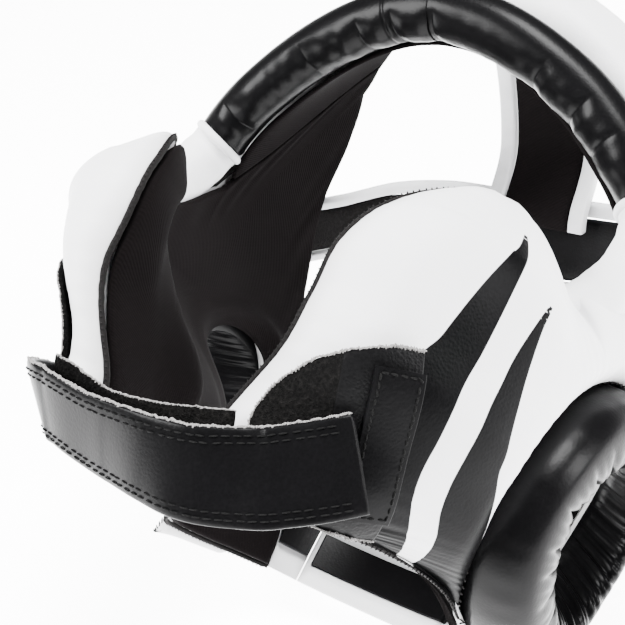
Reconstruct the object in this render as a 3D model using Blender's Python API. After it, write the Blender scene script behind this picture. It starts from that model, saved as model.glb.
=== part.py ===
"""Boxing headgear: open-faced padded leather headgear with cheek pads, ear rolls and a chin strap.

The leather is laid out on a head-shaped surface. A place on it is an azimuth in degrees, 0 at
the face and positive towards the wearer's left, a level from -1 at the chin through 0 at the
cheekbones to 1 at the crown, and a height off the surface. The finished headgear is then leaned
back on its nape pad, which is flattened where it rests.
"""

import math

import bpy
import numpy as np

# Head form that the pads are laid over
HEAD_HALF_WIDTH = 0.081
FACE_REACH = 0.115
REAR_REACH = 0.111
CROWN_HEIGHT = 0.128
CHIN_DEPTH = 0.095
PATTERN_RADIUS = 0.5 * (HEAD_HALF_WIDTH + FACE_REACH)

# Thickness of the padding and of the knitted lining
CHEEK_PADDING = 0.019
CHIN_PADDING = 0.012
TEMPLE_PADDING = 0.015
FOREHEAD_PADDING = 0.015
NAPE_PADDING = 0.026
WING_PADDING = 0.5 * NAPE_PADDING
LINING_THICKNESS = 0.004
BROW_LINING_THICKNESS = 0.002
CHEEK_LINING_THICKNESS = 0.015
SEAM_EDGE = 0.0015
SEAM_GROOVE = 0.0016
CHIN_CURL = 0.016
STRAP_PULL = 0.038
SIDE_LEAN = 0.07

# Rolls
BROW_ROLL_RADIUS = 0.0098
BROW_GATHER_DEPTH = 0.0008
BROW_GATHERS = 18
EAR_OPENING_RADIUS = 0.023
EAR_ROLL_WIDTH = 0.020
EAR_ROLL_HEIGHT = 0.0215
EAR_SLANT = (0.018, 0.009)
EAR_OUTER_RADIUS = EAR_OPENING_RADIUS + EAR_ROLL_WIDTH

# Bands and straps
REAR_BAND_WIDTH = 0.022
REAR_BAND_THICKNESS = 0.0042
CROWN_STRAP_WIDTH = 0.030
CROWN_STRAP_THICKNESS = 0.0036
BAND_BINDING_WIDTH = 0.005
CROWN_BINDING_WIDTH = 0.007
BINDING_THICKNESS = 0.0060
CHIN_STRAP_WIDTH = 0.0235
CHIN_STRAP_THICKNESS = 0.0026
INNER_STRAP_WIDTH = 0.023
INNER_STRAP_THICKNESS = 0.0018
TAB_LENGTH = 0.0385
TAB_HEIGHT = 0.050
TAB_THICKNESS = 0.0014
PATCH_WIDTH = 0.0115
PATCH_HEIGHT = 0.0385
PATCH_THICKNESS = 0.0012

# Rounding of the padding towards its seams
PAD_ROUND = 0.021
FOREHEAD_ROUND = 0.014
FOREHEAD_SLOPE = 1.3
EAR_DIP = 0.012
LINING_ROUND = 0.010
ROUND_POWER = 0.75
EAR_ROLL_POWER = 0.85
LINING_CREST = 1.1
EAR_DIP_SHARE = 0.35

# Where a form fades out: the azimuth or level that it ends at, and the width of its fading
CURL_SIDES = (50, 32)
CURL_TOP = (-0.35, 0.45)
PULL_FRONT = (-20, 30)
PULL_REAR = (112, 32)
PULL_TOP = (-0.05, 0.6)
LEAN_TOP = (0.5, 0.8)
CHEEK_REAR = (78, 22)
CHEEK_TOP = (0.16, 0.2)
CHIN_TOP = (-0.40, 0.3)
CHEEK_LINING_REAR = (62, 24)
CHEEK_LINING_TOP = (0.2, 0.2)

# Clearances
LAYER_GAP = 0.0005
PANEL_GAP = 0.0012
LINING_STEP = 0.003
EAR_ROLL_SEAT = 1.5 * PANEL_GAP
BROW_ROLL_CLEARANCE = 3 * PANEL_GAP

# The headgear leans back by this angle from upright and rests on its nape
RECLINE = math.radians(62.5)

# Sections of the head, from the crown down: level, then half width, reach forwards and reach
# backwards as shares of the head's own, and how square the front half is
HEAD_SECTIONS = [
    (1.06, 0.34, 0.16, 0.36, 1.8),
    (0.86, 0.62, 0.37, 0.61, 1.8),
    (0.72, 0.75, 0.445, 0.76, 1.8),
    (0.59, 0.85, 0.515, 0.86, 1.8),
    (0.48, 0.925, 0.605, 0.94, 1.8),
    (0.36, 0.985, 0.73, 0.98, 1.9),
    (0.23, 1.01, 0.85, 1.00, 2.1),
    (0.00, 0.99, 0.97, 0.98, 2.25),
    (-0.32, 0.96, 0.99, 0.90, 2.25),
    (-0.63, 0.91, 1.00, 0.83, 2.25),
    (-1.06, 0.84, 0.97, 0.76, 2.25),
]
REAR_SQUARENESS = 2.35

# Lower edge of the forehead lining, which the brow roll lies along: azimuth and level
BROW_LINE = [
    (0, 0.715),
    (14, 0.705),
    (27, 0.67),
    (40, 0.61),
    (50, 0.545),
    (58, 0.475),
    (66, 0.41),
    (76, 0.32),
]
BROW_ROLL_END = 70
BROW_ROLL_RAISE = 0.0005
FOREHEAD_END = 75.6
# Crown edge of the forehead pad and the sides: azimuth and level
CROWN_LINE = [
    (0, 0.985),
    (30, 0.975),
    (50, 0.94),
    (66, 0.89),
    (76, 0.86),
    (88, 0.80),
    (98, 0.67),
    (104, 0.51),
]

# Outline of a side pad, from the temple forwards round the cheek, chin, ear and nape and back:
# azimuth and level, with a corner mark where the seam turns sharply
SIDE_OUTLINE = [
    (76.5, 0.28, 1),
    (71, 0.16, 0),
    (64, 0.07, 1),
    (55, 0.13, 0),
    (46, 0.16, 0),
    (37, 0.135, 0),
    (28, 0.045, 0),
    (23, -0.12, 0),
    (23, -0.30, 0),
    (23, -0.50, 0),
    (18, -0.74, 0),
    (15, -0.88, 0),
    (19, -0.955, 0),
    (30, -0.93, 0),
    (44, -0.87, 0),
    (58, -0.83, 0),
    (76, -0.83, 0),
    (96, -0.93, 0),
    (116, -0.93, 0),
    (134, -0.91, 0),
    (145, -0.90, 1),
    (143, -0.70, 0),
    (134, -0.40, 0),
    (124, -0.05, 0),
    (117, 0.19, 0),
    (112, 0.34, 0),
    (104, 0.51, 1),
    (98, 0.67, 0),
    (88, 0.80, 0),
    (77, 0.86, 1),
    (76.5, 0.57, 0),
]
EAR_CENTRE = (95.5, -0.43)
EAR_ROLL_TALL = 1.08

# Middle of the rear band: azimuth and level
REAR_BAND_LINE = [
    (98, 0.30),
    (104, 0.355),
    (111, 0.43),
    (124, 0.56),
    (141, 0.64),
    (161, 0.675),
    (180, 0.68),
]
REAR_BAND_LIFT = 0.004
CROWN_STRAP_RISE = 0.014
CROWN_STRAP_SAG = 0.0050
CROWN_STRAP_OVERLAP = 0.015
CROWN_STRAP_TURN = 0.033
CROWN_STRAP_TURN_LIFT = 0.008
SEAM_ANGLE = 0.9
BAND_START = 107
REAR_EDGE_FROM = 98
REAR_EDGE_TOP = 0.62
SEAM_LEVEL = 0.012

# Nape pad: levels that it spans, the level whose leather rests and how far it is pressed flat
NAPE_LEVELS = (-0.90, -0.38)
NAPE_LINING_LEVELS = (-0.82, -0.67)
WING_LINING_LEVELS = (-0.79, -0.40)
NAPE_PAD_START = 156.2
NAPE_LINING_START = 158
WING_END = 155.9
NAPE_REST_LEVEL = -0.62
NAPE_FLATTENING = 0.005
NAPE_ROUND = 0.022

# Chin strap: azimuth, level, height off the head as a share of the cheek padding, and how far its
# upper edge leans outwards, in degrees
OUTER_STRAP_LINE = [
    (-72, -0.70, 1.16, 32),
    (-58, -0.775, 1.16, 36),
    (-45, -0.815, 1.20, 38),
    (-34, -0.840, 1.20, 38),
    (-18, -0.887, 0.98, 38),
    (-4, -0.918, 0.86, 38),
    (10, -0.925, 1.12, 32),
    (20, -0.907, 1.36, 20),
    (29, -0.845, 1.37, 6),
    (33, -0.800, 1.35, 2),
    (37, -0.744, 1.35, 0),
    (41, -0.679, 1.33, 0),
]
INNER_STRAP_LINE = [
    (-20, -0.830, 0.93, 36),
    (-17, -0.839, 0.88, 36),
    (-13, -0.856, 0.74, 37),
    (-3, -0.878, 0.56, 38),
    (10, -0.868, 0.74, 30),
    (19, -0.840, 0.98, 16),
    (24, -0.815, 1.12, 8),
]
CHIN_STRAP_STEPS = 25

# Strap tabs on the cheeks
TAB_PLACE = (35.6, -0.673)
TAB_TILT = math.radians(24)
TAB_GAP = 0.0016
TAB_RIM_GAP = 0.0030
FAR_TAB_SHIFT = (0.008, -0.001)

# Counts of points along the forms
CURVE_STEPS = 24
EDGE_STEPS = 200
SIDE_STEPS = 48
RIM_STEPS = 160
SIDE_SHARES = (0.0, 0.09, 0.26, 0.55, 0.86, 1.0)
OPENING_SHARES = (0.55, 1.0)
FOREHEAD_SHARES = (0.0, 0.08, 0.24, 0.5, 0.76, 0.92, 1.0)
BROW_SHARES = (0.0, 0.25)
FOREHEAD_STEPS = 21
BROW_ROLL_STEPS = 37
EAR_ROLL_STEPS = 32
ROLL_SIDES = 10
BAND_STEPS = 25
BAND_ROWS = 4
BINDING_ROWS = 2
SEAM_TRIES = 12
CROWN_STRAP_STEPS = 15
NAPE_SPACING = 4.0
NAPE_ROWS = 6
TAB_ROWS = 9
TAB_STEPS = 7
PATCH_STEPS = 3
TAB_END_SHARE = 0.2

# Small steps that directions are measured over
LEVEL_STEP = 0.002
AIM_STEP = 0.05


def column(levels, values, at):
    """Smooth values at the given levels through a table's rows, which run downwards."""
    x = np.array(levels[::-1], float)
    y = np.array(values[::-1], float)
    slope = np.gradient(y, x)
    at = np.clip(at, x[0], x[-1])
    i = np.clip(np.searchsorted(x, at) - 1, 0, len(x) - 2)
    span = x[i + 1] - x[i]
    t = (at - x[i]) / span
    low = y[i] * (1 + 2 * t) * (1 - t) ** 2 + slope[i] * span * t * (1 - t) ** 2
    return low + y[i + 1] * (3 - 2 * t) * t**2 + slope[i + 1] * span * (t - 1) * t**2


def step(value):
    value = np.clip(value, 0, 1)
    return value * value * (3 - 2 * value)


def fade(value, end):
    """1 far below an end, falling smoothly to 0 at it."""
    return step((end[0] - value) / end[1])


def height_of(level):
    return np.where(level > 0, level * CROWN_HEIGHT, level * CHIN_DEPTH)


def outline_of(level):
    levels, half, front, rear, square = (list(c) for c in zip(*HEAD_SECTIONS))
    return (
        column(levels, half, level) * HEAD_HALF_WIDTH,
        column(levels, front, level) * FACE_REACH,
        column(levels, rear, level) * REAR_REACH,
        column(levels, square, level),
    )


def skin(azimuth, level, lift):
    """Points in the head's frame at these places, lifted off the head's surface along its normal."""
    azimuth, level, lift = np.broadcast_arrays(*(np.asarray(v, float) for v in (azimuth, level, lift)))
    turn = np.radians(azimuth)
    across, along = np.sin(turn), np.cos(turn)
    half, front, rear, square = outline_of(level)
    half_up, front_up, rear_up, _ = outline_of(level + LEVEL_STEP)
    rise = height_of(level + LEVEL_STEP) - height_of(level)
    square = np.where(along > 0, square, REAR_SQUARENESS)
    reach = np.where(along > 0, front, rear)
    reach_up = np.where(along > 0, front_up, rear_up)
    u = np.abs(across) ** (2 / square)
    v = np.abs(along) ** (2 / square)
    x = half * np.sign(across) * u
    y = -reach * np.sign(along) * v
    nx = np.sign(across) * u ** (square - 1) / half
    ny = -np.sign(along) * v ** (square - 1) / reach
    spread = u**square * (half_up - half) / half + v**square * (reach_up - reach) / reach
    nz = -spread / rise
    length = np.sqrt(nx**2 + ny**2 + nz**2)
    curl = CHIN_CURL * fade(np.abs(azimuth), CURL_SIDES) * fade(level, CURL_TOP)
    pull = STRAP_PULL * fade(azimuth, PULL_FRONT) * fade(-azimuth, PULL_REAR) * fade(level, PULL_TOP)
    lift = lift - curl - pull
    x, y = x + nx / length * lift, y + ny / length * lift
    z = height_of(level) + nz / length * lift
    return np.stack([x, y, z + SIDE_LEAN * x * (1 - fade(level, LEAN_TOP))], -1)


def curve_through(points, count, closed=False):
    """Points evenly spaced along a smooth curve through the given ones."""
    points = np.array(points, float)
    if closed:
        padded = np.concatenate([points[-1:], points, points[:2]])
    else:
        first = 2 * points[0] - points[1]
        last = 2 * points[-1] - points[-2]
        padded = np.concatenate([[first], points, [last]])
    fine = []
    for a, b, c, d in zip(padded, padded[1:], padded[2:], padded[3:]):
        for t in np.linspace(0, 1, CURVE_STEPS, endpoint=False):
            bend = (2 * a - 5 * b + 4 * c - d) * t**2 + (3 * b - a - 3 * c + d) * t**3
            fine.append(0.5 * (2 * b + (c - a) * t + bend))
    fine.append(points[0] if closed else points[-1])
    fine = np.array(fine)
    run = np.concatenate([[0], np.cumsum(np.linalg.norm(np.diff(fine, axis=0), axis=1))])
    at = np.linspace(0, run[-1], count, endpoint=not closed)
    return np.stack([np.interp(at, run, fine[:, k]) for k in range(fine.shape[1])], -1)


def lean_back(points):
    """From the head's frame to the resting one: face up and forwards, +Z up."""
    points = np.asarray(points, float)
    s, c = math.sin(RECLINE), math.cos(RECLINE)
    y = c * points[..., 1] + s * points[..., 2]
    z = -s * points[..., 1] + c * points[..., 2]
    return np.stack([points[..., 0], y, z], -1)


def material(name, colour, roughness):
    made = bpy.data.materials.get(name)
    if made:
        return made
    made = bpy.data.materials.new(name)
    made.use_nodes = True
    shader = made.node_tree.nodes["Principled BSDF"]
    shader.inputs["Base Color"].default_value = (*colour, 1)
    shader.inputs["Roughness"].default_value = roughness
    made.diffuse_color = (*colour, 1)
    return made


WHITE_LEATHER = material("white_leather", (0.86, 0.86, 0.87), 0.42)
BLACK_LEATHER = material("black_leather", (0.022, 0.022, 0.024), 0.34)
KNITTED_LINING = material("knitted_lining", (0.045, 0.038, 0.034), 0.95)
LOOP_FABRIC = material("loop_fabric", (0.03, 0.03, 0.03), 0.98)

PIECES = []


def add_piece(name, points, faces, finish):
    """One closed solid from points in the head's frame, with its faces turned outwards."""
    points = np.asarray(points, float).reshape(-1, 3)
    volume = 0.0
    for face in faces:
        for b, c in zip(face[1:], face[2:]):
            volume += np.dot(points[face[0]], np.cross(points[b], points[c]))
    if volume < 0:
        faces = [face[::-1] for face in faces]
    PIECES.append((name, points, faces, finish))


def closed_slab(name, top, bottom, finish, ring=False):
    """A solid between two grids of points, top lying outwards; a ring's rows join end to end."""
    rows, columns = top.shape[:2]
    points = np.concatenate([top.reshape(-1, 3), bottom.reshape(-1, 3)])
    below = rows * columns

    def at(r, c):
        return (r % rows) * columns + c

    faces = []
    for r in range(rows if ring else rows - 1):
        for c in range(columns - 1):
            a, b, d, e = at(r, c), at(r, c + 1), at(r + 1, c + 1), at(r + 1, c)
            faces += [(a, b, d), (a, d, e)]
            faces += [(below + d, below + b, below + a), (below + e, below + d, below + a)]
        for c, flip in ((0, False), (columns - 1, True)):
            a, b = at(r, c), at(r + 1, c)
            side = (a, b, below + b, below + a)
            faces.append(side[::-1] if flip else side)
    if not ring:
        for r, flip in ((0, True), (rows - 1, False)):
            for c in range(columns - 1):
                a, b = at(r, c), at(r, c + 1)
                side = (a, b, below + b, below + a)
                faces.append(side[::-1] if flip else side)
    add_piece(name, points, faces, finish)


def closed_tube(name, sections, finish, ring=False):
    """A solid through closed sections; its ends are capped unless it is a ring."""
    sections = np.asarray(sections, float)
    rows, sides = sections.shape[:2]
    faces = []
    for r in range(rows if ring else rows - 1):
        for s in range(sides):
            a, b = r * sides + s, r * sides + (s + 1) % sides
            c, d = ((r + 1) % rows) * sides + (s + 1) % sides, ((r + 1) % rows) * sides + s
            faces.append((a, b, c, d))
    if not ring:
        faces.append(tuple(range(sides))[::-1])
        faces.append(tuple((rows - 1) * sides + s for s in range(sides)))
    add_piece(name, sections, faces, finish)


def rounded(distance, radius):
    """Share of the full padding at a distance from a seam, rising in a soft round."""
    return np.sin(0.5 * math.pi * np.clip(distance / radius, 0, 1)) ** ROUND_POWER


def padding_at(azimuth, level):
    """Thickness of a side pad: thickest over the cheekbone and behind the ear."""
    cheek = fade(np.abs(azimuth), CHEEK_REAR) * fade(level, CHEEK_TOP)
    chin = fade(np.abs(azimuth), CHEEK_REAR) * fade(level, CHIN_TOP)
    return TEMPLE_PADDING + (CHEEK_PADDING - TEMPLE_PADDING) * cheek - (CHEEK_PADDING - CHIN_PADDING) * chin


def lining_at(azimuth, level):
    cheek = fade(np.abs(azimuth), CHEEK_LINING_REAR) * fade(level, CHEEK_LINING_TOP)
    return LINING_THICKNESS + (CHEEK_LINING_THICKNESS - LINING_THICKNESS) * cheek


def on_flat(places):
    """Places as lengths on a flat pattern, where the outlines and holes are drawn true."""
    places = np.asarray(places, float)
    return np.stack([np.radians(places[..., 0]) * PATTERN_RADIUS, height_of(places[..., 1])], -1)


def from_flat(flat):
    z = flat[..., 1]
    azimuth = np.degrees(flat[..., 0] / PATTERN_RADIUS)
    return np.stack([azimuth, np.where(z > 0, z / CROWN_HEIGHT, z / CHIN_DEPTH)], -1)


def side_outline(count):
    """The side pad's outline on the flat pattern, as a smooth closed curve with its marked corners."""
    corners = [i for i, row in enumerate(SIDE_OUTLINE) if row[2]]
    flat = on_flat([row[:2] for row in SIDE_OUTLINE])
    runs = []
    for first, last in zip(corners, corners[1:] + [corners[0] + len(flat)]):
        runs.append(flat[[i % len(flat) for i in range(first, last + 1)]])
    lengths = [np.linalg.norm(np.diff(run, axis=0), axis=1).sum() for run in runs]
    steps = [max(2, round(count * length / sum(lengths))) for length in lengths]
    steps[0] += count - sum(steps)
    return np.concatenate([curve_through(run, n + 1)[:-1] for run, n in zip(runs, steps)])


def ear_loop(outline, across, slant=(0, 0)):
    """The ear opening's edge on the flat pattern, one point for each point of the outline."""
    centre = on_flat(EAR_CENTRE) + np.array(slant)
    arms = outline - on_flat(EAR_CENTRE)
    angle = np.unwrap(np.arctan2(arms[:, 1], arms[:, 0]))
    even = angle[0] + np.linspace(0, 2 * math.pi, len(angle), endpoint=False) * np.sign(angle[-1] - angle[0])
    angle = 0.5 * angle + 0.5 * (even + np.mean(angle - even))
    return centre + across * np.stack([np.cos(angle), EAR_ROLL_TALL * np.sin(angle)], -1)


def rim_distance(flat):
    """Distance of points on the flat pattern from the side pad's outline."""
    outline = side_outline(RIM_STEPS)
    ahead = np.roll(outline, -1, axis=0)
    run = ahead - outline
    away = flat[..., None, :] - outline
    share = np.clip((away * run).sum(-1) / (run * run).sum(-1), 0, 1)
    return np.linalg.norm(away - share[..., None] * run, axis=-1).min(-1)


def ear_distance(flat, across, slant=(0, 0)):
    """Distance of points on the flat pattern outside an ear opening from its edge."""
    arm = flat - on_flat(EAR_CENTRE) - np.array(slant)
    return np.maximum(np.hypot(arm[..., 0], arm[..., 1] / EAR_ROLL_TALL) - across, 0)


def pad_height(azimuth, level):
    """Height of a side pad's leather off the head at these places."""
    flat = on_flat(np.stack([np.abs(azimuth), level], -1))
    swell = padding_at(azimuth, level)
    shape = rounded(rim_distance(flat), PAD_ROUND)
    from_ear = rounded(ear_distance(flat, EAR_OUTER_RADIUS + PANEL_GAP), EAR_DIP)
    shape = shape * (EAR_DIP_SHARE + (1 - EAR_DIP_SHARE) * from_ear)
    return LINING_THICKNESS + LAYER_GAP + SEAM_EDGE + swell * shape


def side_places(to_opening):
    """Places of a side panel's grid, from the outline to the ear roll's seam or on to the opening."""
    outline = side_outline(SIDE_STEPS)
    seam = ear_loop(outline, EAR_OUTER_RADIUS + PANEL_GAP)
    shares = np.array(SIDE_SHARES)[None, :, None]
    flat = outline[:, None, :] * (1 - shares) + seam[:, None, :] * shares
    if to_opening:
        opening = ear_loop(outline, EAR_OPENING_RADIUS + LINING_STEP, EAR_SLANT)
        shares = np.array(OPENING_SHARES)[None, :, None]
        flat = np.concatenate([flat, seam[:, None, :] * (1 - shares) + opening[:, None, :] * shares], 1)
    places = from_flat(flat)
    return flat, places[..., 0], places[..., 1]


def side_pad(name, side):
    """White leather cheek, temple and rear pad in one piece, with the black tapered stripes flush in it."""
    _, azimuth, level = side_places(False)
    low = LINING_THICKNESS + LAYER_GAP
    high = pad_height(azimuth, level)
    outer = skin(side * azimuth, level, high)
    closed_slab(name, outer, skin(side * azimuth, level, low), WHITE_LEATHER, ring=True)


def side_lining(name, side):
    """Knitted lining behind the side pad, padded where it meets the cheek."""
    flat, azimuth, level = side_places(True)
    seam = SEAM_GROOVE + SEAM_EDGE
    swell = lining_at(azimuth, level) - seam
    from_ear = ear_distance(flat, EAR_OPENING_RADIUS + LINING_STEP, EAR_SLANT)
    shape = rounded(rim_distance(flat), LINING_CREST * swell) * rounded(from_ear, LINING_ROUND)
    low = LINING_THICKNESS - seam - swell * shape
    groove = SEAM_GROOVE * (1 - rounded(rim_distance(flat), LINING_ROUND))
    closed_slab(
        name,
        skin(side * azimuth, level, LINING_THICKNESS - groove),
        skin(side * azimuth, level, low),
        KNITTED_LINING,
        ring=True,
    )


def ear_roll(name, side):
    """Gathered black leather roll round the ear opening, set into the side pad."""
    turn = np.linspace(0, 2 * math.pi, EAR_ROLL_STEPS, endpoint=False)
    wrap = np.linspace(0, 2 * math.pi, ROLL_SIDES, endpoint=False)
    t, w = np.meshgrid(turn, wrap, indexing="ij")
    share = 0.5 + 0.5 * np.sign(np.cos(w)) * np.abs(np.cos(w)) ** EAR_ROLL_POWER
    rise = np.maximum(np.sin(w), 0) ** ROUND_POWER
    low = LINING_THICKNESS + EAR_ROLL_SEAT
    lift = low + EAR_ROLL_HEIGHT * rise
    radius = EAR_OPENING_RADIUS + EAR_ROLL_WIDTH * share
    drift = (1 - share) * (1 - rise)
    centre = on_flat(EAR_CENTRE)
    x = centre[0] + EAR_SLANT[0] * drift + radius * np.cos(t)
    y = centre[1] + EAR_SLANT[1] * drift + EAR_ROLL_TALL * radius * np.sin(t)
    flat = np.stack([x, y], -1)
    places = from_flat(flat)
    sections = skin(side * places[..., 0], places[..., 1], lift)
    closed_tube(name, sections, BLACK_LEATHER, ring=True)


def line_at(table, azimuth):
    """Level of an edge at these azimuths, the same on both sides of the head."""
    points = curve_through(table, EDGE_STEPS)
    return np.interp(np.abs(azimuth), points[:, 0], points[:, 1])


def forehead_places(to_brow):
    """Places of a forehead panel's grid, from above the brow roll or from the brow line up."""
    azimuth = np.linspace(-FOREHEAD_END, FOREHEAD_END, FOREHEAD_STEPS)[:, None]
    brow = line_at(BROW_LINE, azimuth)
    above_roll = BROW_ROLL_RADIUS + BROW_ROLL_RAISE + BROW_ROLL_CLEARANCE
    seam = brow + above_roll / CROWN_HEIGHT
    crown = line_at(CROWN_LINE, azimuth)
    level = seam + (crown - seam) * np.array(FOREHEAD_SHARES)[None, :]
    if to_brow:
        level = np.concatenate([brow + (seam - brow) * np.array(BROW_SHARES)[None, :], level], 1)
    return azimuth + 0 * level, level


def edge_distance(level):
    """Distance of a forehead panel's rows from its two long edges, measured up the slope."""
    rise = (level - level[:, :1]) * CROWN_HEIGHT * FOREHEAD_SLOPE
    return np.minimum(rise, rise[:, -1:] - rise)


def forehead_pad():
    """White leather pad across the forehead, above the brow roll."""
    azimuth, level = forehead_places(False)
    low = BROW_LINING_THICKNESS + LAYER_GAP
    high = low + SEAM_EDGE + FOREHEAD_PADDING * rounded(edge_distance(level), FOREHEAD_ROUND)
    closed_slab("forehead_pad", skin(azimuth, level, high), skin(azimuth, level, low), WHITE_LEATHER)


def forehead_lining():
    """Knitted lining behind the forehead pad and the brow roll."""
    azimuth, level = forehead_places(True)
    swell = BROW_LINING_THICKNESS - SEAM_EDGE
    low = swell - swell * rounded(edge_distance(level), LINING_ROUND)
    top, bottom = skin(azimuth, level, BROW_LINING_THICKNESS), skin(azimuth, level, low)
    closed_slab("forehead_lining", top, bottom, KNITTED_LINING)


def brow_frame(steps):
    """Centres of the brow roll, with its directions along, outwards and upwards."""
    azimuth = np.linspace(-BROW_ROLL_END, BROW_ROLL_END, steps)
    level = line_at(BROW_LINE, azimuth)
    root = skin(azimuth, level, BROW_LINING_THICKNESS + LAYER_GAP)
    along = np.gradient(root, axis=0)
    along /= np.linalg.norm(along, axis=1)[:, None]
    out = skin(azimuth, level, BROW_ROLL_RADIUS) - root
    out -= along * (out * along).sum(1)[:, None]
    out /= np.linalg.norm(out, axis=1)[:, None]
    up = np.cross(out, along)
    centre = root + out * (BROW_ROLL_RADIUS + LAYER_GAP) + up * BROW_ROLL_RAISE
    return centre, along, out, up


def brow_roll():
    """Black leather roll along the lower edge of the forehead, gathered on its inner side."""
    centre, along, out, up = brow_frame(BROW_ROLL_STEPS)
    wrap = np.linspace(0, 2 * math.pi, ROLL_SIDES, endpoint=False)
    gather = BROW_GATHER_DEPTH * np.cos(np.linspace(0, BROW_GATHERS * 2 * math.pi, BROW_ROLL_STEPS))
    radius = BROW_ROLL_RADIUS - BROW_GATHER_DEPTH + gather
    ring = out[:, None] * np.cos(wrap)[None, :, None] + up[:, None] * np.sin(wrap)[None, :, None]
    closed_tube("brow_roll", centre[:, None] + ring * radius[:, None, None], BLACK_LEATHER)


def sweep_strip(name, centre, across, width, thickness, finish):
    """A flat strip along a line of points, with its width along the given directions."""
    centre, across = np.asarray(centre, float), np.asarray(across, float)
    along = np.gradient(centre, axis=0)
    along /= np.linalg.norm(along, axis=1)[:, None]
    across = across - along * (across * along).sum(1)[:, None]
    across /= np.linalg.norm(across, axis=1)[:, None]
    out = np.cross(along, across)
    half, deep = 0.5 * width, 0.5 * thickness
    corners = [(-half, -deep), (half, -deep), (half, deep), (-half, deep)]
    sections = np.stack([centre + across * a + out * o for a, o in corners], 1)
    closed_tube(name, sections, finish)


def rear_edge(level):
    """Azimuth of the side pad's rear edge at these levels."""
    places = from_flat(side_outline(RIM_STEPS))
    rear = places[(places[:, 0] > REAR_EDGE_FROM) & (places[:, 1] < REAR_EDGE_TOP)]
    order = np.argsort(rear[:, 1])
    return np.interp(level, rear[order, 1], rear[order, 0])


def band_level(azimuth):
    return line_at(REAR_BAND_LINE, 180 - np.abs(180 - azimuth))


def rear_band_strip(name, low_edge, high_edge, rows, lift, thickness, finish):
    """A strip across the back between the side pads, its edges at these heights off the middle."""
    row = np.linspace(low_edge, high_edge, rows)[None, :] / CROWN_HEIGHT
    start = BAND_START + 0 * row
    for _ in range(SEAM_TRIES):
        start = 0.5 * (start + rear_edge(row + band_level(start)) + SEAM_ANGLE)
    share = np.linspace(0, 1, BAND_STEPS)[:, None]
    azimuth = start + (360 - 2 * start) * share
    level = band_level(azimuth) + row
    azimuth = np.where(azimuth > 180, azimuth - 360, azimuth)
    closed_slab(name, skin(azimuth, level, lift + thickness), skin(azimuth, level, lift), finish)


def rear_band():
    """Adjustable closing band across the back, bound along both edges in white."""
    half = 0.5 * REAR_BAND_WIDTH
    rear_band_strip("rear_band", -half, half, BAND_ROWS, REAR_BAND_LIFT, REAR_BAND_THICKNESS, BLACK_LEATHER)
    spare = 0.5 * (BINDING_THICKNESS - REAR_BAND_THICKNESS)
    for label, sign in (("upper", 1), ("lower", -1)):
        inner, outer = sign * (half + LAYER_GAP), sign * (half + LAYER_GAP + BAND_BINDING_WIDTH)
        rear_band_strip(
            "rear_binding_" + label,
            min(inner, outer),
            max(inner, outer),
            BINDING_ROWS,
            REAR_BAND_LIFT - spare,
            BINDING_THICKNESS,
            WHITE_LEATHER,
        )


def crown_strap():
    """Strap over the crown from the forehead pad's edge to the inside of the rear band, bound in white."""
    front = skin(0, CROWN_LINE[0][1] + SEAM_LEVEL, BROW_LINING_THICKNESS + CROWN_STRAP_THICKNESS)
    band_middle = REAR_BAND_LIFT + 0.5 * REAR_BAND_THICKNESS
    back_lift = band_middle - BINDING_THICKNESS - CROWN_STRAP_SAG
    back = skin(180, band_level(180), back_lift)
    rim = skin(180, band_level(180) + CROWN_STRAP_OVERLAP / CROWN_HEIGHT, back_lift)
    over = skin(180, band_level(180) + CROWN_STRAP_TURN / CROWN_HEIGHT, back_lift + CROWN_STRAP_TURN_LIFT)
    top = np.array([0, 0.5 * (front[1] + over[1]), CROWN_HEIGHT + CROWN_STRAP_RISE])
    line = curve_through([front, top, over, rim, back], CROWN_STRAP_STEPS)
    leaned = np.array([1.0, 0.0, SIDE_LEAN])
    across = np.tile(leaned, (len(line), 1))
    sweep_strip("crown_strap", line, across, CROWN_STRAP_WIDTH, CROWN_STRAP_THICKNESS, BLACK_LEATHER)
    offset = 0.5 * (CROWN_STRAP_WIDTH + CROWN_BINDING_WIDTH) + LAYER_GAP
    for label, sign in (("left", 1), ("right", -1)):
        edge = line + leaned * sign * offset
        name = "crown_binding_" + label
        sweep_strip(name, edge, across, CROWN_BINDING_WIDTH, BINDING_THICKNESS, WHITE_LEATHER)


def nape_panel(name, side, start, end, levels, low, high, swell, finish):
    """A crowned panel at the nape between azimuths and levels, pressed flat where it rests.

    Its start is an azimuth, or None to follow the side pad's rear edge.
    """
    reach = end - (rear_edge(levels[1]) if start is None else start)
    share = np.linspace(0, 1, 1 + math.ceil(reach / NAPE_SPACING))[:, None]
    up = np.linspace(0, 1, NAPE_ROWS)[None, :]
    level = levels[0] + (levels[1] - levels[0]) * up
    first = rear_edge(level) + SEAM_ANGLE if start is None else start + 0 * level
    azimuth = first + (end - first) * share
    level = level + 0 * share
    from_start = np.radians(azimuth - first) * REAR_REACH
    from_end = np.radians(end - azimuth) * REAR_REACH
    from_long = np.minimum(up, 1 - up) * (levels[1] - levels[0]) * CHIN_DEPTH
    edge = np.minimum(np.minimum(from_start, from_end), from_long + 0 * share)
    azimuth = azimuth if side > 0 else 360 - azimuth
    azimuth = np.where(azimuth > 180, azimuth - 360, azimuth)
    top = skin(azimuth, level, high + swell * rounded(edge, NAPE_ROUND))
    bottom = skin(azimuth, level, low + 0 * level)
    closed_slab(name, flattened(top), bottom, finish)


def flattened(points):
    """Points pressed back to the plane that the headgear rests on."""
    down = np.array([0, math.sin(RECLINE), -math.cos(RECLINE)])
    rest = skin(180, NAPE_REST_LEVEL, LINING_THICKNESS + NAPE_PADDING)
    over = np.maximum((points - rest) @ down + NAPE_FLATTENING, 0)
    return points - over[..., None] * down


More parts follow.
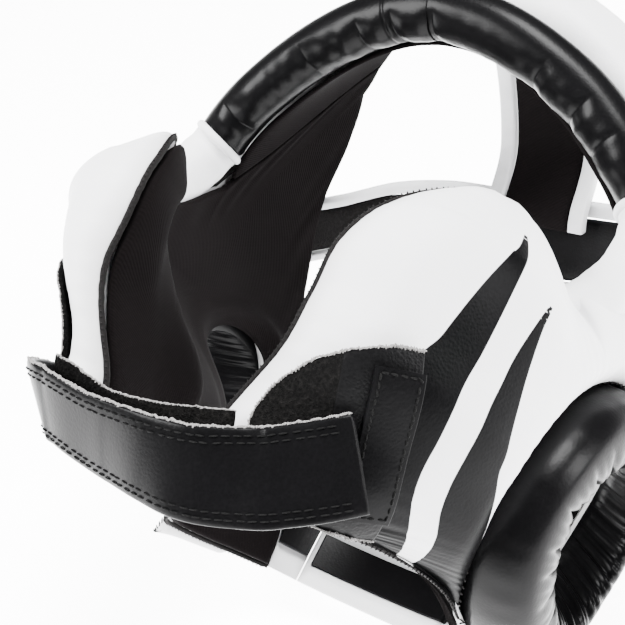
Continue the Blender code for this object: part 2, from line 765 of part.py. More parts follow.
def chin_strap(name, table, width, thickness, finish):
    """A strap round the chin through places on the head: azimuth, level and share of the padding."""
    places = [(a, l, h * CHEEK_PADDING, math.radians(t)) for a, l, h, t in table]
    line = curve_through(places, CHIN_STRAP_STEPS)
    centre = skin(line[:, 0], line[:, 1], line[:, 2])
    up = skin(line[:, 0], line[:, 1] + AIM_STEP, line[:, 2]) - centre
    out = skin(line[:, 0], line[:, 1], line[:, 2] + AIM_STEP) - centre
    up /= np.linalg.norm(up, axis=1)[:, None]
    out /= np.linalg.norm(out, axis=1)[:, None]
    up = up * np.cos(line[:, 3:]) + out * np.sin(line[:, 3:])
    sweep_strip(name, centre, up, width, thickness, finish)


def tab(name, side, centre, length, height, lift, thickness, steps, round_front, finish):
    """A flat panel on a side pad, with its front end rounded or square."""
    across = np.linspace(-0.5, 0.5, steps)[:, None]
    upward = np.linspace(-0.5, 0.5, TAB_ROWS)[None, :]
    taper = np.sqrt(np.clip(1 - (2 * upward) ** 2, TAB_END_SHARE**2, 1)) if round_front else 1 + 0 * upward
    x = length * (0.5 + (across - 0.5) * taper)
    y = height * upward + 0 * x
    s, c = math.sin(TAB_TILT), math.cos(TAB_TILT)
    middle = on_flat(TAB_PLACE)
    x, y = x + centre[0], y + centre[1]
    places = from_flat(np.stack([middle[0] + c * x - s * y, middle[1] + s * x + c * y], -1))
    azimuth, level = places[..., 0], places[..., 1]
    rim = rim_distance(on_flat(places))
    low = pad_height(azimuth, level) + lift + TAB_RIM_GAP * (1 - rounded(rim, PAD_ROUND))
    closed_slab(name, skin(side * azimuth, level, low + thickness), skin(side * azimuth, level, low), finish)


def main():
    for thing in list(bpy.data.objects):
        bpy.data.objects.remove(thing, do_unlink=True)
    forehead_pad()
    forehead_lining()
    brow_roll()
    pad_low, lining_high = LINING_THICKNESS, LINING_THICKNESS - LAYER_GAP
    pad_high = pad_low + SEAM_EDGE
    for side, label in ((1, "left"), (-1, "right")):
        side_pad("side_pad_" + label, side)
        side_lining("side_lining_" + label, side)
        ear_roll("ear_roll_" + label, side)
        wing = (side, None, WING_END)
        nape_panel("nape_wing_" + label, *wing, NAPE_LEVELS, pad_low, pad_high, WING_PADDING, WHITE_LEATHER)
        nape_panel("wing_lining_" + label, *wing, WING_LINING_LEVELS, 0, lining_high, 0, BLACK_LEATHER)
        shift = (0, 0) if side > 0 else FAR_TAB_SHIFT
        flap = (TAB_LENGTH, TAB_HEIGHT, TAB_GAP, TAB_THICKNESS, TAB_STEPS)
        tab("strap_tab_" + label, side, shift, *flap, True, LOOP_FABRIC)
        on_tab = TAB_GAP + TAB_THICKNESS + 2 * LAYER_GAP
        rear = (shift[0] + 0.5 * (TAB_LENGTH - PATCH_WIDTH), shift[1])
        patch = (PATCH_WIDTH, PATCH_HEIGHT, on_tab, PATCH_THICKNESS, PATCH_STEPS)
        tab("strap_patch_" + label, side, rear, *patch, False, BLACK_LEATHER)
    pad = (1, NAPE_PAD_START, 360 - NAPE_PAD_START)
    inside = (1, NAPE_LINING_START, 360 - NAPE_LINING_START)
    nape_panel("nape_pad", *pad, NAPE_LEVELS, pad_low, pad_high, NAPE_PADDING, WHITE_LEATHER)
    nape_panel("nape_lining", *inside, NAPE_LINING_LEVELS, 0, lining_high, 0, BLACK_LEATHER)
    rear_band()
    crown_strap()
    chin_strap("chin_strap_outer", OUTER_STRAP_LINE, CHIN_STRAP_WIDTH, CHIN_STRAP_THICKNESS, BLACK_LEATHER)
    chin_strap("chin_strap_inner", INNER_STRAP_LINE, INNER_STRAP_WIDTH, INNER_STRAP_THICKNESS, LOOP_FABRIC)
    finish_pieces()


def finish_pieces():
    placed = [(n, lean_back(p), f, m) for n, p, f, m in PIECES]
    everything = np.concatenate([p for _, p, _, _ in placed])
    low, high = everything.min(0), everything.max(0)
    origin = np.array([(low[0] + high[0]) / 2, (low[1] + high[1]) / 2, low[2]])
    for name, points, faces, finish in placed:
        mesh = bpy.data.meshes.new(name)
        mesh.from_pydata((points - origin).tolist(), [], faces)
        mesh.validate()
        mesh.shade_smooth()
        mesh.materials.append(finish)
        made = bpy.data.objects.new(name, mesh)
        bpy.context.scene.collection.objects.link(made)


main()
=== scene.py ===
import math

import bpy
import numpy as np
from mathutils import Matrix


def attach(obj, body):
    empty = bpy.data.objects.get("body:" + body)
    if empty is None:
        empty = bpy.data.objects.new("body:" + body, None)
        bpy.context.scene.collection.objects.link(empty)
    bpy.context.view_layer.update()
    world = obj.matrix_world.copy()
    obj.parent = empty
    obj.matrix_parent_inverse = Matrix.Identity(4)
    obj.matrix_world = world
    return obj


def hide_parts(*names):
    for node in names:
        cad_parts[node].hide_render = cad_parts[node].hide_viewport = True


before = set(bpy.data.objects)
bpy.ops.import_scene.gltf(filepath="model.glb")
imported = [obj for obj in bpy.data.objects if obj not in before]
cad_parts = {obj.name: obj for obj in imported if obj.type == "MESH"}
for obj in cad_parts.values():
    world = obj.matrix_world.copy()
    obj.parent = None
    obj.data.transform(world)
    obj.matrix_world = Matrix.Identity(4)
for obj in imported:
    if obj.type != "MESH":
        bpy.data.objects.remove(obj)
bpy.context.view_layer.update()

# Studio: a plain white floor, soft lamps from the upper left, above and behind, and the camera
# that looks down on the headgear from in front of its left cheek.
FLOOR_SIZE = 8.0
FLOOR_GLOW = 8.0
CAMERA_PLACE = (0.21810, -0.28714, 0.42100)
CAMERA_RIGHT = (0.81297, 0.56377, -0.14576)
CAMERA_UP = (-0.25242, 0.56676, 0.78426)
CAMERA_BACK = (0.52475, -0.60079, 0.60306)
LENS = 72.72

camera = bpy.data.objects.new("camera", bpy.data.cameras.new("camera"))
bpy.context.scene.collection.objects.link(camera)
camera.data.sensor_width = 36.0
camera.data.lens = LENS
camera.data.clip_start = 0.01
turn = Matrix((CAMERA_RIGHT, CAMERA_UP, CAMERA_BACK)).transposed().to_4x4()
camera.matrix_world = Matrix.Translation(CAMERA_PLACE) @ turn
bpy.context.scene.camera = camera

world = bpy.data.worlds.new("studio_air")
world.use_nodes = True
world.node_tree.nodes["Background"].inputs["Color"].default_value = (1.0, 1.0, 1.0, 1)
world.node_tree.nodes["Background"].inputs["Strength"].default_value = 0.22
bpy.context.scene.world = world

# name, place, aim, size, power
LAMPS = [
    ("key_lamp", (-0.75, -0.75, 1.15), (0, 0, 0.12), (0.8, 0.8), 105.0),
    ("top_lamp", (0.25, 0.35, 1.45), (0, 0, 0.1), (0.7, 0.5), 78.0),
    ("side_lamp", (1.15, 0.25, 0.75), (0.08, 0, 0.1), (0.25, 0.9), 34.0),
]
for name, place, aim, size, power in LAMPS:
    lamp = bpy.data.objects.new(name, bpy.data.lights.new(name, "AREA"))
    lamp.data.shape = "RECTANGLE"
    lamp.data.size, lamp.data.size_y = size
    lamp.data.energy = power
    bpy.context.scene.collection.objects.link(lamp)
    back = np.array(place, float) - np.array(aim, float)
    back /= np.linalg.norm(back)
    right = np.cross((0, 0, 1), back)
    right /= np.linalg.norm(right)
    facing = Matrix((tuple(right), tuple(np.cross(back, right)), tuple(back))).transposed().to_4x4()
    lamp.matrix_world = Matrix.Translation(place) @ facing


class Wire:
    """A shader socket that Python's operators work on, each adding its Math node."""

    def __init__(self, finish, socket):
        self.finish, self.socket = finish, socket

    def math(self, operation, first, second=None):
        inputs = {0: first} if second is None else {0: first, 1: second}
        return self.finish.node("Math", {"operation": operation}, inputs)

    def __add__(self, other):
        return self.math("ADD", self, other)

    def __radd__(self, other):
        return self.math("ADD", other, self)

    def __sub__(self, other):
        return self.math("SUBTRACT", self, other)

    def __rsub__(self, other):
        return self.math("SUBTRACT", other, self)

    def __mul__(self, other):
        return self.math("MULTIPLY", self, other)

    def __rmul__(self, other):
        return self.math("MULTIPLY", other, self)

    def __abs__(self):
        return self.math("ABSOLUTE", self)

    def __pow__(self, other):
        return self.math("POWER", self, other)

    def sin(self):
        return self.math("SINE", self)

    def between(self, low, high):
        """0 at low, 1 at high, smooth and clipped outside them."""
        settings = {"interpolation_type": "SMOOTHSTEP", "clamp": True}
        return self.finish.node("MapRange", settings, {"Value": self, "From Min": low, "From Max": high})


class Finish:
    """A node material: its Principled shader and the nodes that feed it."""

    def __init__(self, name, **sockets):
        self.material = bpy.data.materials.new(name)
        self.material.use_nodes = True
        self.tree = self.material.node_tree
        self.shader = self.tree.nodes["Principled BSDF"]
        self.feed(self.shader, {key.replace("_", " "): value for key, value in sockets.items()})

    def feed(self, node, inputs):
        for key, value in inputs.items():
            if isinstance(value, Wire):
                self.tree.links.new(value.socket, node.inputs[key])
            else:
                node.inputs[key].default_value = value

    def node(self, kind, settings=None, inputs=None, outlet=0):
        made = self.tree.nodes.new("ShaderNode" + kind)
        for key, value in (settings or {}).items():
            setattr(made, key, value)
        self.feed(made, inputs or {})
        return Wire(self, made.outputs[outlet])

    def mark(self, name):
        """A value that the mesh carries at each point."""
        return self.node("Attribute", {"attribute_name": name}, outlet=2)

    def place(self):
        return self.node("TexCoord", outlet=3)

    def noise(self, scale, detail=2.0, at=None):
        inputs = {"Vector": at or self.place(), "Scale": scale, "Detail": detail}
        return self.node("TexNoise", None, inputs)

    def cells(self, scale, at=None):
        """Distance from the middle of rounded cells, as in pebbled leather."""
        inputs = {"Vector": at or self.place(), "Scale": scale, "Smoothness": 0.6}
        return self.node("TexVoronoi", {"feature": "SMOOTH_F1"}, inputs)

    def mix(self, share, first, second):
        return self.node("Mix", {"data_type": "RGBA"}, {0: share, 6: first, 7: second}, 2)

    def bump(self, height, distance, strength=1.0):
        return self.node("Bump", None, {"Height": height, "Distance": distance, "Strength": strength})

    def set(self, **sockets):
        self.feed(self.shader, {key.replace("_", " "): value for key, value in sockets.items()})
        return self.material


floor_finish = Finish("studio_floor", Roughness=0.9, Specular_IOR_Level=0.03, Emission_Strength=FLOOR_GLOW)
paper = floor_finish.noise(3.0)
white = floor_finish.mix(paper, (0.96, 0.96, 0.96, 1), (0.98, 0.98, 0.98, 1))
floor_finish.set(Base_Color=white, Emission_Color=white)
half = FLOOR_SIZE / 2
floor_mesh = bpy.data.meshes.new("floor")
floor_corners = [(-half, -half, 0), (half, -half, 0), (half, half, 0), (-half, half, 0)]
floor_mesh.from_pydata(floor_corners, [], [(0, 1, 2, 3)])
floor_mesh.materials.append(floor_finish.material)
floor = bpy.data.objects.new("floor", floor_mesh)
bpy.context.scene.collection.objects.link(floor)


# Side pads: white leather over foam, cut in one piece for temple, cheek and jaw and laid over a
# head-shaped form, with black tapered panels let into the cheek. The leather is turned over the
# foam and overlocked to the lining along its rim, which puckers it a little.
HEAD_HALF_WIDTH = 0.081
FACE_REACH = 0.115
REAR_REACH = 0.111
CROWN_HEIGHT = 0.128
CHIN_DEPTH = 0.095
PATTERN_RADIUS = 0.5 * (HEAD_HALF_WIDTH + FACE_REACH)
CHEEK_PADDING = 0.019
CHIN_PADDING = 0.012
TEMPLE_PADDING = 0.015
LINING_THICKNESS = 0.004
CHEEK_LINING_THICKNESS = 0.015
SEAM_EDGE = 0.0015
SEAM_GROOVE = 0.0016
CHIN_CURL = 0.016
STRAP_PULL = 0.038
SIDE_LEAN = 0.07
PAD_ROUND = 0.021
EAR_DIP = 0.012
LINING_ROUND = 0.010
LEVEL_STEP = 0.002
LAYER_GAP = 0.0005
PANEL_GAP = 0.0012
LINING_STEP = 0.003
EAR_OPENING_RADIUS = 0.023
EAR_ROLL_WIDTH = 0.020
EAR_ROLL_HEIGHT = 0.0215
EAR_SLANT = (0.018, 0.009)
EAR_ROLL_TALL = 1.08
EAR_OUTER_RADIUS = EAR_OPENING_RADIUS + EAR_ROLL_WIDTH
EAR_CENTRE = (95.5, -0.43)
SIDES = ((1, "left"), (-1, "right"))
RECLINE = math.radians(62.5)
REST_ORIGIN = (0.0, 0.0012173, -0.1331978)
SEAM_PUCKER = 0.0007
EDGE_CORD_RADIUS = 0.0011
# Stitches: pitch, length and radius
RIM_STITCH = (0.0019, 0.0017, 0.00028)
EAR_STITCH = (0.0030, 0.0026, 0.00034)
# How far the filled leather swells out over its seam
TEMPLE_OVERHANG = 0.007
CHEEK_OVERHANG = 0.0035
JAW_OVERHANG = 0.010
OVERHANG_REACH = 0.018
# The far cheek is drawn in by the strap, so its edge is rounder
FAR_CHEEK_ROUND = 0.042
PAD_FOOT = LINING_THICKNESS + LAYER_GAP + SEAM_EDGE

# Sections of the head: level, half width, reach forwards, reach backwards, squareness in front
HEAD_SECTIONS = [
    (1.06, 0.34, 0.16, 0.36, 1.8),
    (0.86, 0.62, 0.37, 0.61, 1.8),
    (0.72, 0.75, 0.445, 0.76, 1.8),
    (0.59, 0.85, 0.515, 0.86, 1.8),
    (0.48, 0.925, 0.605, 0.94, 1.8),
    (0.36, 0.985, 0.73, 0.98, 1.9),
    (0.23, 1.01, 0.85, 1.00, 2.1),
    (0.00, 0.99, 0.97, 0.98, 2.25),
    (-0.32, 0.96, 0.99, 0.90, 2.25),
    (-0.63, 0.91, 1.00, 0.83, 2.25),
    (-1.06, 0.84, 0.97, 0.76, 2.25),
]
REAR_SQUARENESS = 2.35

# Outline of a side pad: azimuth, level and whether the seam turns sharply
SIDE_OUTLINE = [
    (76.5, 0.28, 1),
    (71, 0.16, 0),
    (64, 0.07, 1),
    (55, 0.13, 0),
    (46, 0.16, 0),
    (37, 0.135, 0),
    (28, 0.045, 0),
    (23, -0.12, 0),
    (23, -0.30, 0),
    (23, -0.50, 0),
    (18, -0.74, 0),
    (15, -0.88, 0),
    (19, -0.955, 0),
    (30, -0.93, 0),
    (44, -0.87, 0),
    (58, -0.83, 0),
    (76, -0.83, 0),
    (96, -0.93, 0),
    (116, -0.93, 0),
    (134, -0.91, 0),
    (145, -0.90, 1),
    (143, -0.70, 0),
    (134, -0.40, 0),
    (124, -0.05, 0),
    (117, 0.19, 0),
    (112, 0.34, 0),
    (104, 0.51, 1),
    (98, 0.67, 0),
    (88, 0.80, 0),
    (77, 0.86, 1),
    (76.5, 0.57, 0),
]

# Black panels on the flat pattern, in millimetres from the face's middle and the cheekbone
PANEL_OUTLINES = [
    [
        (80.2, 7.4), (75.6, -5.3), (73.2, -14.1), (71.7, -21.4), (70.4, -28.3), (66.0, -40.0), (58.0, -60.0),
        (50.0, -95.0), (118.0, -95.0), (104.3, -78.7), (90.1, -64.1), (84.7, -48.6), (82.1, -35.1),
        (82.2, -23.3), (82.2, -13.0), (81.9, -4.4), (81.3, 6.4),
    ],
    [
        (92.9, -3.6), (91.5, -11.3), (90.5, -19.9), (90.7, -27.6), (91.2, -35.4), (93.6, -48.2),
        (98.8, -61.8), (107.9, -72.7), (122.0, -95.0), (150.0, -95.0), (138.0, -80.0), (120.0, -62.0),
        (106.1, -47.5),
        (103.4, -42.4), (100.9, -36.8), (98.9, -31.2), (96.8, -23.5), (95.3, -16.2), (94.2, -9.5),
        (93.9, -4.2),
    ],
]


def column(levels, values, at):
    """Smooth values at the given levels through a table's rows, which run downwards."""
    x = np.array(levels[::-1], float)
    y = np.array(values[::-1], float)
    slope = np.gradient(y, x)
    at = np.clip(at, x[0], x[-1])
    i = np.clip(np.searchsorted(x, at) - 1, 0, len(x) - 2)
    span = x[i + 1] - x[i]
    t = (at - x[i]) / span
    low = y[i] * (1 + 2 * t) * (1 - t) ** 2 + slope[i] * span * t * (1 - t) ** 2
    return low + y[i + 1] * (3 - 2 * t) * t**2 + slope[i + 1] * span * (t - 1) * t**2


def step(value):
    value = np.clip(value, 0, 1)
    return value * value * (3 - 2 * value)


def height_of(level):
    return np.where(level > 0, level * CROWN_HEIGHT, level * CHIN_DEPTH)


def outline_of(level):
    levels, half, front, rear, square = (list(c) for c in zip(*HEAD_SECTIONS))
    return (
        column(levels, half, level) * HEAD_HALF_WIDTH,
        column(levels, front, level) * FACE_REACH,
        column(levels, rear, level) * REAR_REACH,
        column(levels, square, level),
    )


def skin(azimuth, level, lift):
    """Points in the upright head's frame, lifted off the head's surface along its normal."""
    azimuth, level, lift = np.broadcast_arrays(*(np.asarray(v, float) for v in (azimuth, level, lift)))
    turn = np.radians(azimuth)
    across, along = np.sin(turn), np.cos(turn)
    half, front, rear, square = outline_of(level)
    half_up, front_up, rear_up, _ = outline_of(level + LEVEL_STEP)
    rise = height_of(level + LEVEL_STEP) - height_of(level)
    square = np.where(along > 0, square, REAR_SQUARENESS)
    reach = np.where(along > 0, front, rear)
    reach_up = np.where(along > 0, front_up, rear_up)
    u = np.abs(across) ** (2 / square)
    v = np.abs(along) ** (2 / square)
    x = half * np.sign(across) * u
    y = -reach * np.sign(along) * v
    nx = np.sign(across) * u ** (square - 1) / half
    ny = -np.sign(along) * v ** (square - 1) / reach
    spread = u**square * (half_up - half) / half + v**square * (reach_up - reach) / reach
    nz = -spread / rise
    length = np.sqrt(nx**2 + ny**2 + nz**2)
    curl = CHIN_CURL * step((50 - np.abs(azimuth)) / 32) * step((-0.35 - level) / 0.45)
    pull = STRAP_PULL * step((-20 - azimuth) / 30) * step((azimuth + 112) / 32) * step((-0.05 - level) / 0.6)
    lift = lift - curl - pull
    x, y = x + nx / length * lift, y + ny / length * lift
    z = height_of(level) + nz / length * lift
    return np.stack([x, y, z + SIDE_LEAN * x * step((level + 0.3) / 0.8)], -1)


def lean_back(points):
    """From the upright head's frame to the one that the headgear rests in."""
    points = np.asarray(points, float)
    s, c = math.sin(RECLINE), math.cos(RECLINE)
    y = c * points[..., 1] + s * points[..., 2]
    z = -s * points[..., 1] + c * points[..., 2]
    return np.stack([points[..., 0], y, z], -1) - REST_ORIGIN


def unit(vectors):
    return vectors / np.linalg.norm(vectors, axis=1)[:, None]


def square_to(along, vectors):
    """Unit vectors with what runs along others taken out."""
    return unit(vectors - along * (vectors * along).sum(1)[:, None])


def length_along(line):
    """Length of a line of points up to each one."""
    return np.concatenate([[0], np.cumsum(np.linalg.norm(np.diff(line, axis=0), axis=1))])


def curve_through(points, count, closed=False):
    """Points evenly spaced along a smooth curve through the given ones."""
    points = np.array(points, float)
    if closed:
        padded = np.concatenate([points[-1:], points, points[:2]])
    else:
        padded = np.concatenate([[2 * points[0] - points[1]], points, [2 * points[-1] - points[-2]]])
    fine = []
    for a, b, c, d in zip(padded, padded[1:], padded[2:], padded[3:]):
        for t in np.linspace(0, 1, 24, endpoint=False):
            bend = (2 * a - 5 * b + 4 * c - d) * t**2 + (3 * b - a - 3 * c + d) * t**3
            fine.append(0.5 * (2 * b + (c - a) * t + bend))
    fine.append(points[0] if closed else points[-1])
    fine = np.array(fine)
    run = length_along(fine)
    at = np.linspace(0, run[-1], count, endpoint=not closed)
    return np.stack([np.interp(at, run, fine[:, k]) for k in range(fine.shape[1])], -1)


def rounded(distance, radius):
    """Share of the full padding at a distance from a seam, rising in a soft round."""
    return np.sin(0.5 * math.pi * np.clip(distance / radius, 0, 1)) ** 0.75


def padding_at(azimuth, level):
    cheek = step((78 - np.abs(azimuth)) / 22) * step((0.16 - level) / 0.2)
    chin = step((78 - np.abs(azimuth)) / 22) * step((-0.40 - level) / 0.3)
    return TEMPLE_PADDING + (CHEEK_PADDING - TEMPLE_PADDING) * cheek - (CHEEK_PADDING - CHIN_PADDING) * chin


def on_flat(places):
    """Places as lengths on the flat pattern that the leather is cut from."""
    places = np.asarray(places, float)
    return np.stack([np.radians(places[..., 0]) * PATTERN_RADIUS, height_of(places[..., 1])], -1)


def from_flat(flat):
    z = flat[..., 1]
    level = np.where(z > 0, z / CROWN_HEIGHT, z / CHIN_DEPTH)
    return np.stack([np.degrees(flat[..., 0] / PATTERN_RADIUS), level], -1)


def side_outline(count):
    corners = [i for i, row in enumerate(SIDE_OUTLINE) if row[2]]
    flat = on_flat([row[:2] for row in SIDE_OUTLINE])
    runs = []
    for first, last in zip(corners, corners[1:] + [corners[0] + len(flat)]):
        runs.append(flat[[i % len(flat) for i in range(first, last + 1)]])
    lengths = [np.linalg.norm(np.diff(run, axis=0), axis=1).sum() for run in runs]
    steps = [max(2, round(count * length / sum(lengths))) for length in lengths]
    steps[0] += count - sum(steps)
    return np.concatenate([curve_through(run, n + 1)[:-1] for run, n in zip(runs, steps)])


def ear_loop(outline, across, slant=(0, 0)):
    """A loop round the ear opening on the flat pattern, one point for each point of the outline."""
    centre = on_flat(EAR_CENTRE) + np.array(slant)
    arms = outline - on_flat(EAR_CENTRE)
    angle = np.unwrap(np.arctan2(arms[:, 1], arms[:, 0]))
    even = angle[0] + np.linspace(0, 2 * math.pi, len(angle), endpoint=False) * np.sign(angle[-1] - angle[0])
    angle = 0.5 * angle + 0.5 * (even + np.mean(angle - even))
    return centre + across * np.stack([np.cos(angle), EAR_ROLL_TALL * np.sin(angle)], -1)


def outline_distance(flat, outline):
    """Distance of flat points from a closed outline, and whether each lies inside it."""
    nearest = np.full(flat.shape[:-1], np.inf)
    inside = np.zeros(flat.shape[:-1], bool)
    for a, b in zip(outline, np.roll(outline, -1, axis=0)):
        run, away = b - a, flat - a
        share = np.clip((away @ run) / (run @ run), 0, 1)
        nearest = np.minimum(nearest, np.linalg.norm(away - share[..., None] * run, axis=-1))
        crosses = (a[1] > flat[..., 1]) != (b[1] > flat[..., 1])
        rise = np.where(abs(b[1] - a[1]) < 1e-12, 1e-12, b[1] - a[1])
        inside ^= crosses & (flat[..., 0] < a[0] + (flat[..., 1] - a[1]) * run[0] / rise)
    return nearest, inside


RIM = side_outline(160)


def ear_distance(flat, across, slant=(0, 0)):
    arm = flat - on_flat(EAR_CENTRE) - np.array(slant)
    return np.maximum(np.hypot(arm[..., 0], arm[..., 1] / EAR_ROLL_TALL) - across, 0)


def pad_height(azimuth, level):
    """Height of a side pad's leather off the head at these places."""
    flat = on_flat(np.stack([np.abs(azimuth), level], -1))
    shape = rounded(outline_distance(flat, RIM)[0], PAD_ROUND)
    shape = shape * (0.35 + 0.65 * rounded(ear_distance(flat, EAR_OUTER_RADIUS + PANEL_GAP), EAR_DIP))
    return PAD_FOOT + padding_at(azimuth, level) * shape


def ripple(run, pitch):
    """Uneven waves along a seam, between -1 and 1."""
    slow = np.sin(2 * math.pi * run / (5.3 * pitch))
    quick = np.sin(2 * math.pi * run / (0.62 * pitch) - 1.9 * slow)
    return 0.62 * np.sin(2 * math.pi * run / pitch + 2.6 * slow) + 0.38 * quick


def mesh_piece(name, points, faces, finish, marks=None):
    """A smooth mesh in the resting frame, faces outwards, with the marks that its finish reads."""
    points = lean_back(points).reshape(-1, 3)
    corners = np.array([[f[0], f[1], f[2]] for f in faces])
    a, b, c = points[corners[:, 0]], points[corners[:, 1]], points[corners[:, 2]]
    if np.einsum("ij,ij->i", a, np.cross(b, c)).sum() < 0:
        faces = [f[::-1] for f in faces]
    mesh = bpy.data.meshes.new(name)
    mesh.from_pydata(points.tolist(), [], [tuple(int(i) for i in f) for f in faces])
    mesh.validate()
    mesh.shade_smooth()
    mesh.materials.append(finish)
    for label, values in (marks or {}).items():
        values = np.ravel(values).astype(np.float32)
        mesh.attributes.new(label, "FLOAT", "POINT").data.foreach_set("value", values)
    made = bpy.data.objects.new(name, mesh)
    bpy.context.scene.collection.objects.link(made)
    return made


def slab_faces(rows, columns, ring):
    below = rows * columns

    def at(r, c):
        return (r % rows) * columns + c

    faces = []
    for r in range(rows if ring else rows - 1):
        for c in range(columns - 1):
            a, b, d, e = at(r, c), at(r, c + 1), at(r + 1, c + 1), at(r + 1, c)
            faces += [(a, b, d, e), (below + e, below + d, below + b, below + a)]
        for c, flip in ((0, False), (columns - 1, True)):
            a, b = at(r, c), at(r + 1, c)
            side = (a, b, below + b, below + a)
            faces.append(side[::-1] if flip else side)
    for r, flip in () if ring else ((0, True), (rows - 1, False)):
        for c in range(columns - 1):
            a, b = at(r, c), at(r, c + 1)
            side = (a, b, below + b, below + a)
            faces.append(side[::-1] if flip else side)
    return faces


def slab(name, top, bottom, finish, marks=None, ring=False):
    """A body between two grids of points, top lying outwards."""
    rows, columns = top.shape[:2]
    both = {label: np.stack([values + 0 * top[..., 0]] * 2) for label, values in (marks or {}).items()}
    return mesh_piece(name, np.stack([top, bottom]), slab_faces(rows, columns, ring), finish, both)


def round_sections(line, out, aside, wrap, radius):
    ring = out[:, None] * np.cos(wrap)[..., None] + aside[:, None] * np.sin(wrap)[..., None]
    return line[:, None] + ring * radius[..., None]


def tube(name, sections, finish, marks=None, ring=False):
    """A body through closed sections, capped unless it is a ring."""
    rows, sides = sections.shape[:2]
    faces = []
    for r in range(rows if ring else rows - 1):
        for s in range(sides):
            t, u = (s + 1) % sides, (r + 1) % rows
            faces.append((r * sides + s, r * sides + t, u * sides + t, u * sides + s))
    if not ring:
        faces += [tuple(range(sides))[::-1], tuple((rows - 1) * sides + s for s in range(sides))]
    return mesh_piece(name, sections, faces, finish, marks)


def thread(name, line, out, pitch, length, radius, finish, tilt=0.0, wander=0.0, seed=1):
    """A row of separate stitches along a line of points, lying on the surface that faces out."""
    chance = np.random.default_rng(seed)
    line, out = np.asarray(line, float), np.asarray(out, float)
    run = length_along(line)
    at = np.arange(0.5 * pitch, run[-1], pitch)
    at = at + chance.uniform(-0.12, 0.12, len(at)) * pitch
    centre = np.stack([np.interp(at, run, line[:, k]) for k in range(3)], -1)
    up = unit(np.stack([np.interp(at, run, out[:, k]) for k in range(3)], -1))
    along = np.stack([np.interp(at, run, np.gradient(line[:, k], run)) for k in range(3)], -1)
    along = square_to(up, along)
    aside = np.cross(up, along)
    angle = tilt + chance.normal(0, wander, len(at))
    along, aside = (
        along * np.cos(angle)[:, None] + aside * np.sin(angle)[:, None],
        aside * np.cos(angle)[:, None] - along * np.sin(angle)[:, None],
    )
    profile = [(-0.5, 0.35, -0.5), (-0.36, 0.85, 0.1), (0.0, 1.0, 0.45), (0.36, 0.85, 0.1), (0.5, 0.35, -0.5)]
    sides = 5
    points, faces = [], []
    for k in range(len(at)):
        first = len(points)
        for share, thick, lifted in profile:
            for w in np.linspace(0, 2 * math.pi, sides, endpoint=False):
                ring = aside[k] * math.cos(w) + up[k] * math.sin(w)
                off = (ring * thick + up[k] * lifted) * radius
                points.append(centre[k] + along[k] * share * length + off)
        for r in range(len(profile) - 1):
            for s in range(sides):
                t = (s + 1) % sides
                a, b = first + r * sides, first + (r + 1) * sides
                faces.append((a + s, a + t, b + t, b + s))
        faces.append(tuple(first + s for s in range(sides))[::-1])
        faces.append(tuple(first + (len(profile) - 1) * sides + s for s in range(sides)))
    return mesh_piece(name, np.array(points), faces, finish)


def ring_closed(line):
    return np.concatenate([line, line[:1]])


def fit(piece, slot, *nodes):
    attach(piece, "root")
    if nodes:
        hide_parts(*nodes)
    return piece


def leather_grain(finish):
    """Height of the leather's grain: pebbles with finer creases between them, 0 to 1."""
    warp = finish.noise(240.0, 2.0)
    pebbles = finish.cells(1150.0)
    creases = finish.noise(2600.0, 3.0)
    return pebbles * 0.6 + creases * 0.3 + warp * 0.1


def white_leather(name, panels):
    """Satin white leather, with painted shade that greys it near its seams, and black panels where the mesh
    marks them.
    """
    made = Finish(name, Specular_IOR_Level=0.028)
    seam = made.mark("seam").between(0.0, 0.006)
    cloud = made.noise(38.0, 3.0)
    grain = leather_grain(made)
    colour = made.mix(cloud, (0.60, 0.60, 0.615, 1), (0.66, 0.66, 0.67, 1))
    # Painted shade: grey mixed into the white within 6 mm of a seam, strongest at the seam itself.
    colour = made.mix((1 - seam) * 0.45, colour, (0.36, 0.355, 0.355, 1))
    rough = 0.36 + 0.12 * cloud + 0.06 * grain
    if panels:
        black = 1 - made.mark("panel").between(-0.00012, 0.00012)
        dark = made.mix(grain, (0.0004, 0.0004, 0.0005, 1), (0.0016, 0.0016, 0.0018, 1))
        colour = made.mix(black, colour, dark)
        rough = rough - black * 0.10
        edge = abs(made.mark("panel")).between(0.0, 0.0008)
        grain = grain * 0.7 + black * 0.35 * grain + edge * 0.35
    soft = made.noise(120.0, 2.0) * 0.6 + grain
    return made.set(Base_Color=colour, Roughness=rough, Normal=made.bump(soft, 0.00011, 0.55))


def black_thread(name, light, dark):
    """Twisted thread: fine slanted plies."""
    made = Finish(name, Roughness=0.8, Specular_IOR_Level=0.05)
    plies = made.noise(2400.0, 2.0)
    return made.set(Base_Color=made.mix(plies, dark, light), Normal=made.bump(plies, 0.00015, 0.8))


SIDE_LEATHER = white_leather("side_leather", True)
OVERLOCK = black_thread("overlock_thread", (0.012, 0.011, 0.011, 1), (0.002, 0.002, 0.002, 1))
side_rim = side_outline(480)
shares = np.linspace(0, 1, 66) ** 1.15
panel_edges = [curve_through(np.array(outline) / 1000, 140, True) for outline in PANEL_OUTLINES]


def side_grid(shares, opening_shares=()):
    """A side panel's places, from its rim to the ear roll's seam, then on to the opening."""
    seam = ear_loop(side_rim, EAR_OUTER_RADIUS + PANEL_GAP)
    s = np.array(shares)[None, :, None]
    flat = side_rim[:, None, :] * (1 - s) + seam[:, None, :] * s
    if len(opening_shares):
        opening = ear_loop(side_rim, EAR_OPENING_RADIUS + LINING_STEP, EAR_SLANT)
        s = np.array(opening_shares)[None, :, None]
        flat = np.concatenate([flat, seam[:, None, :] * (1 - s) + opening[:, None, :] * s], 1)
    places = from_flat(flat)
    return flat, places[..., 0], places[..., 1]


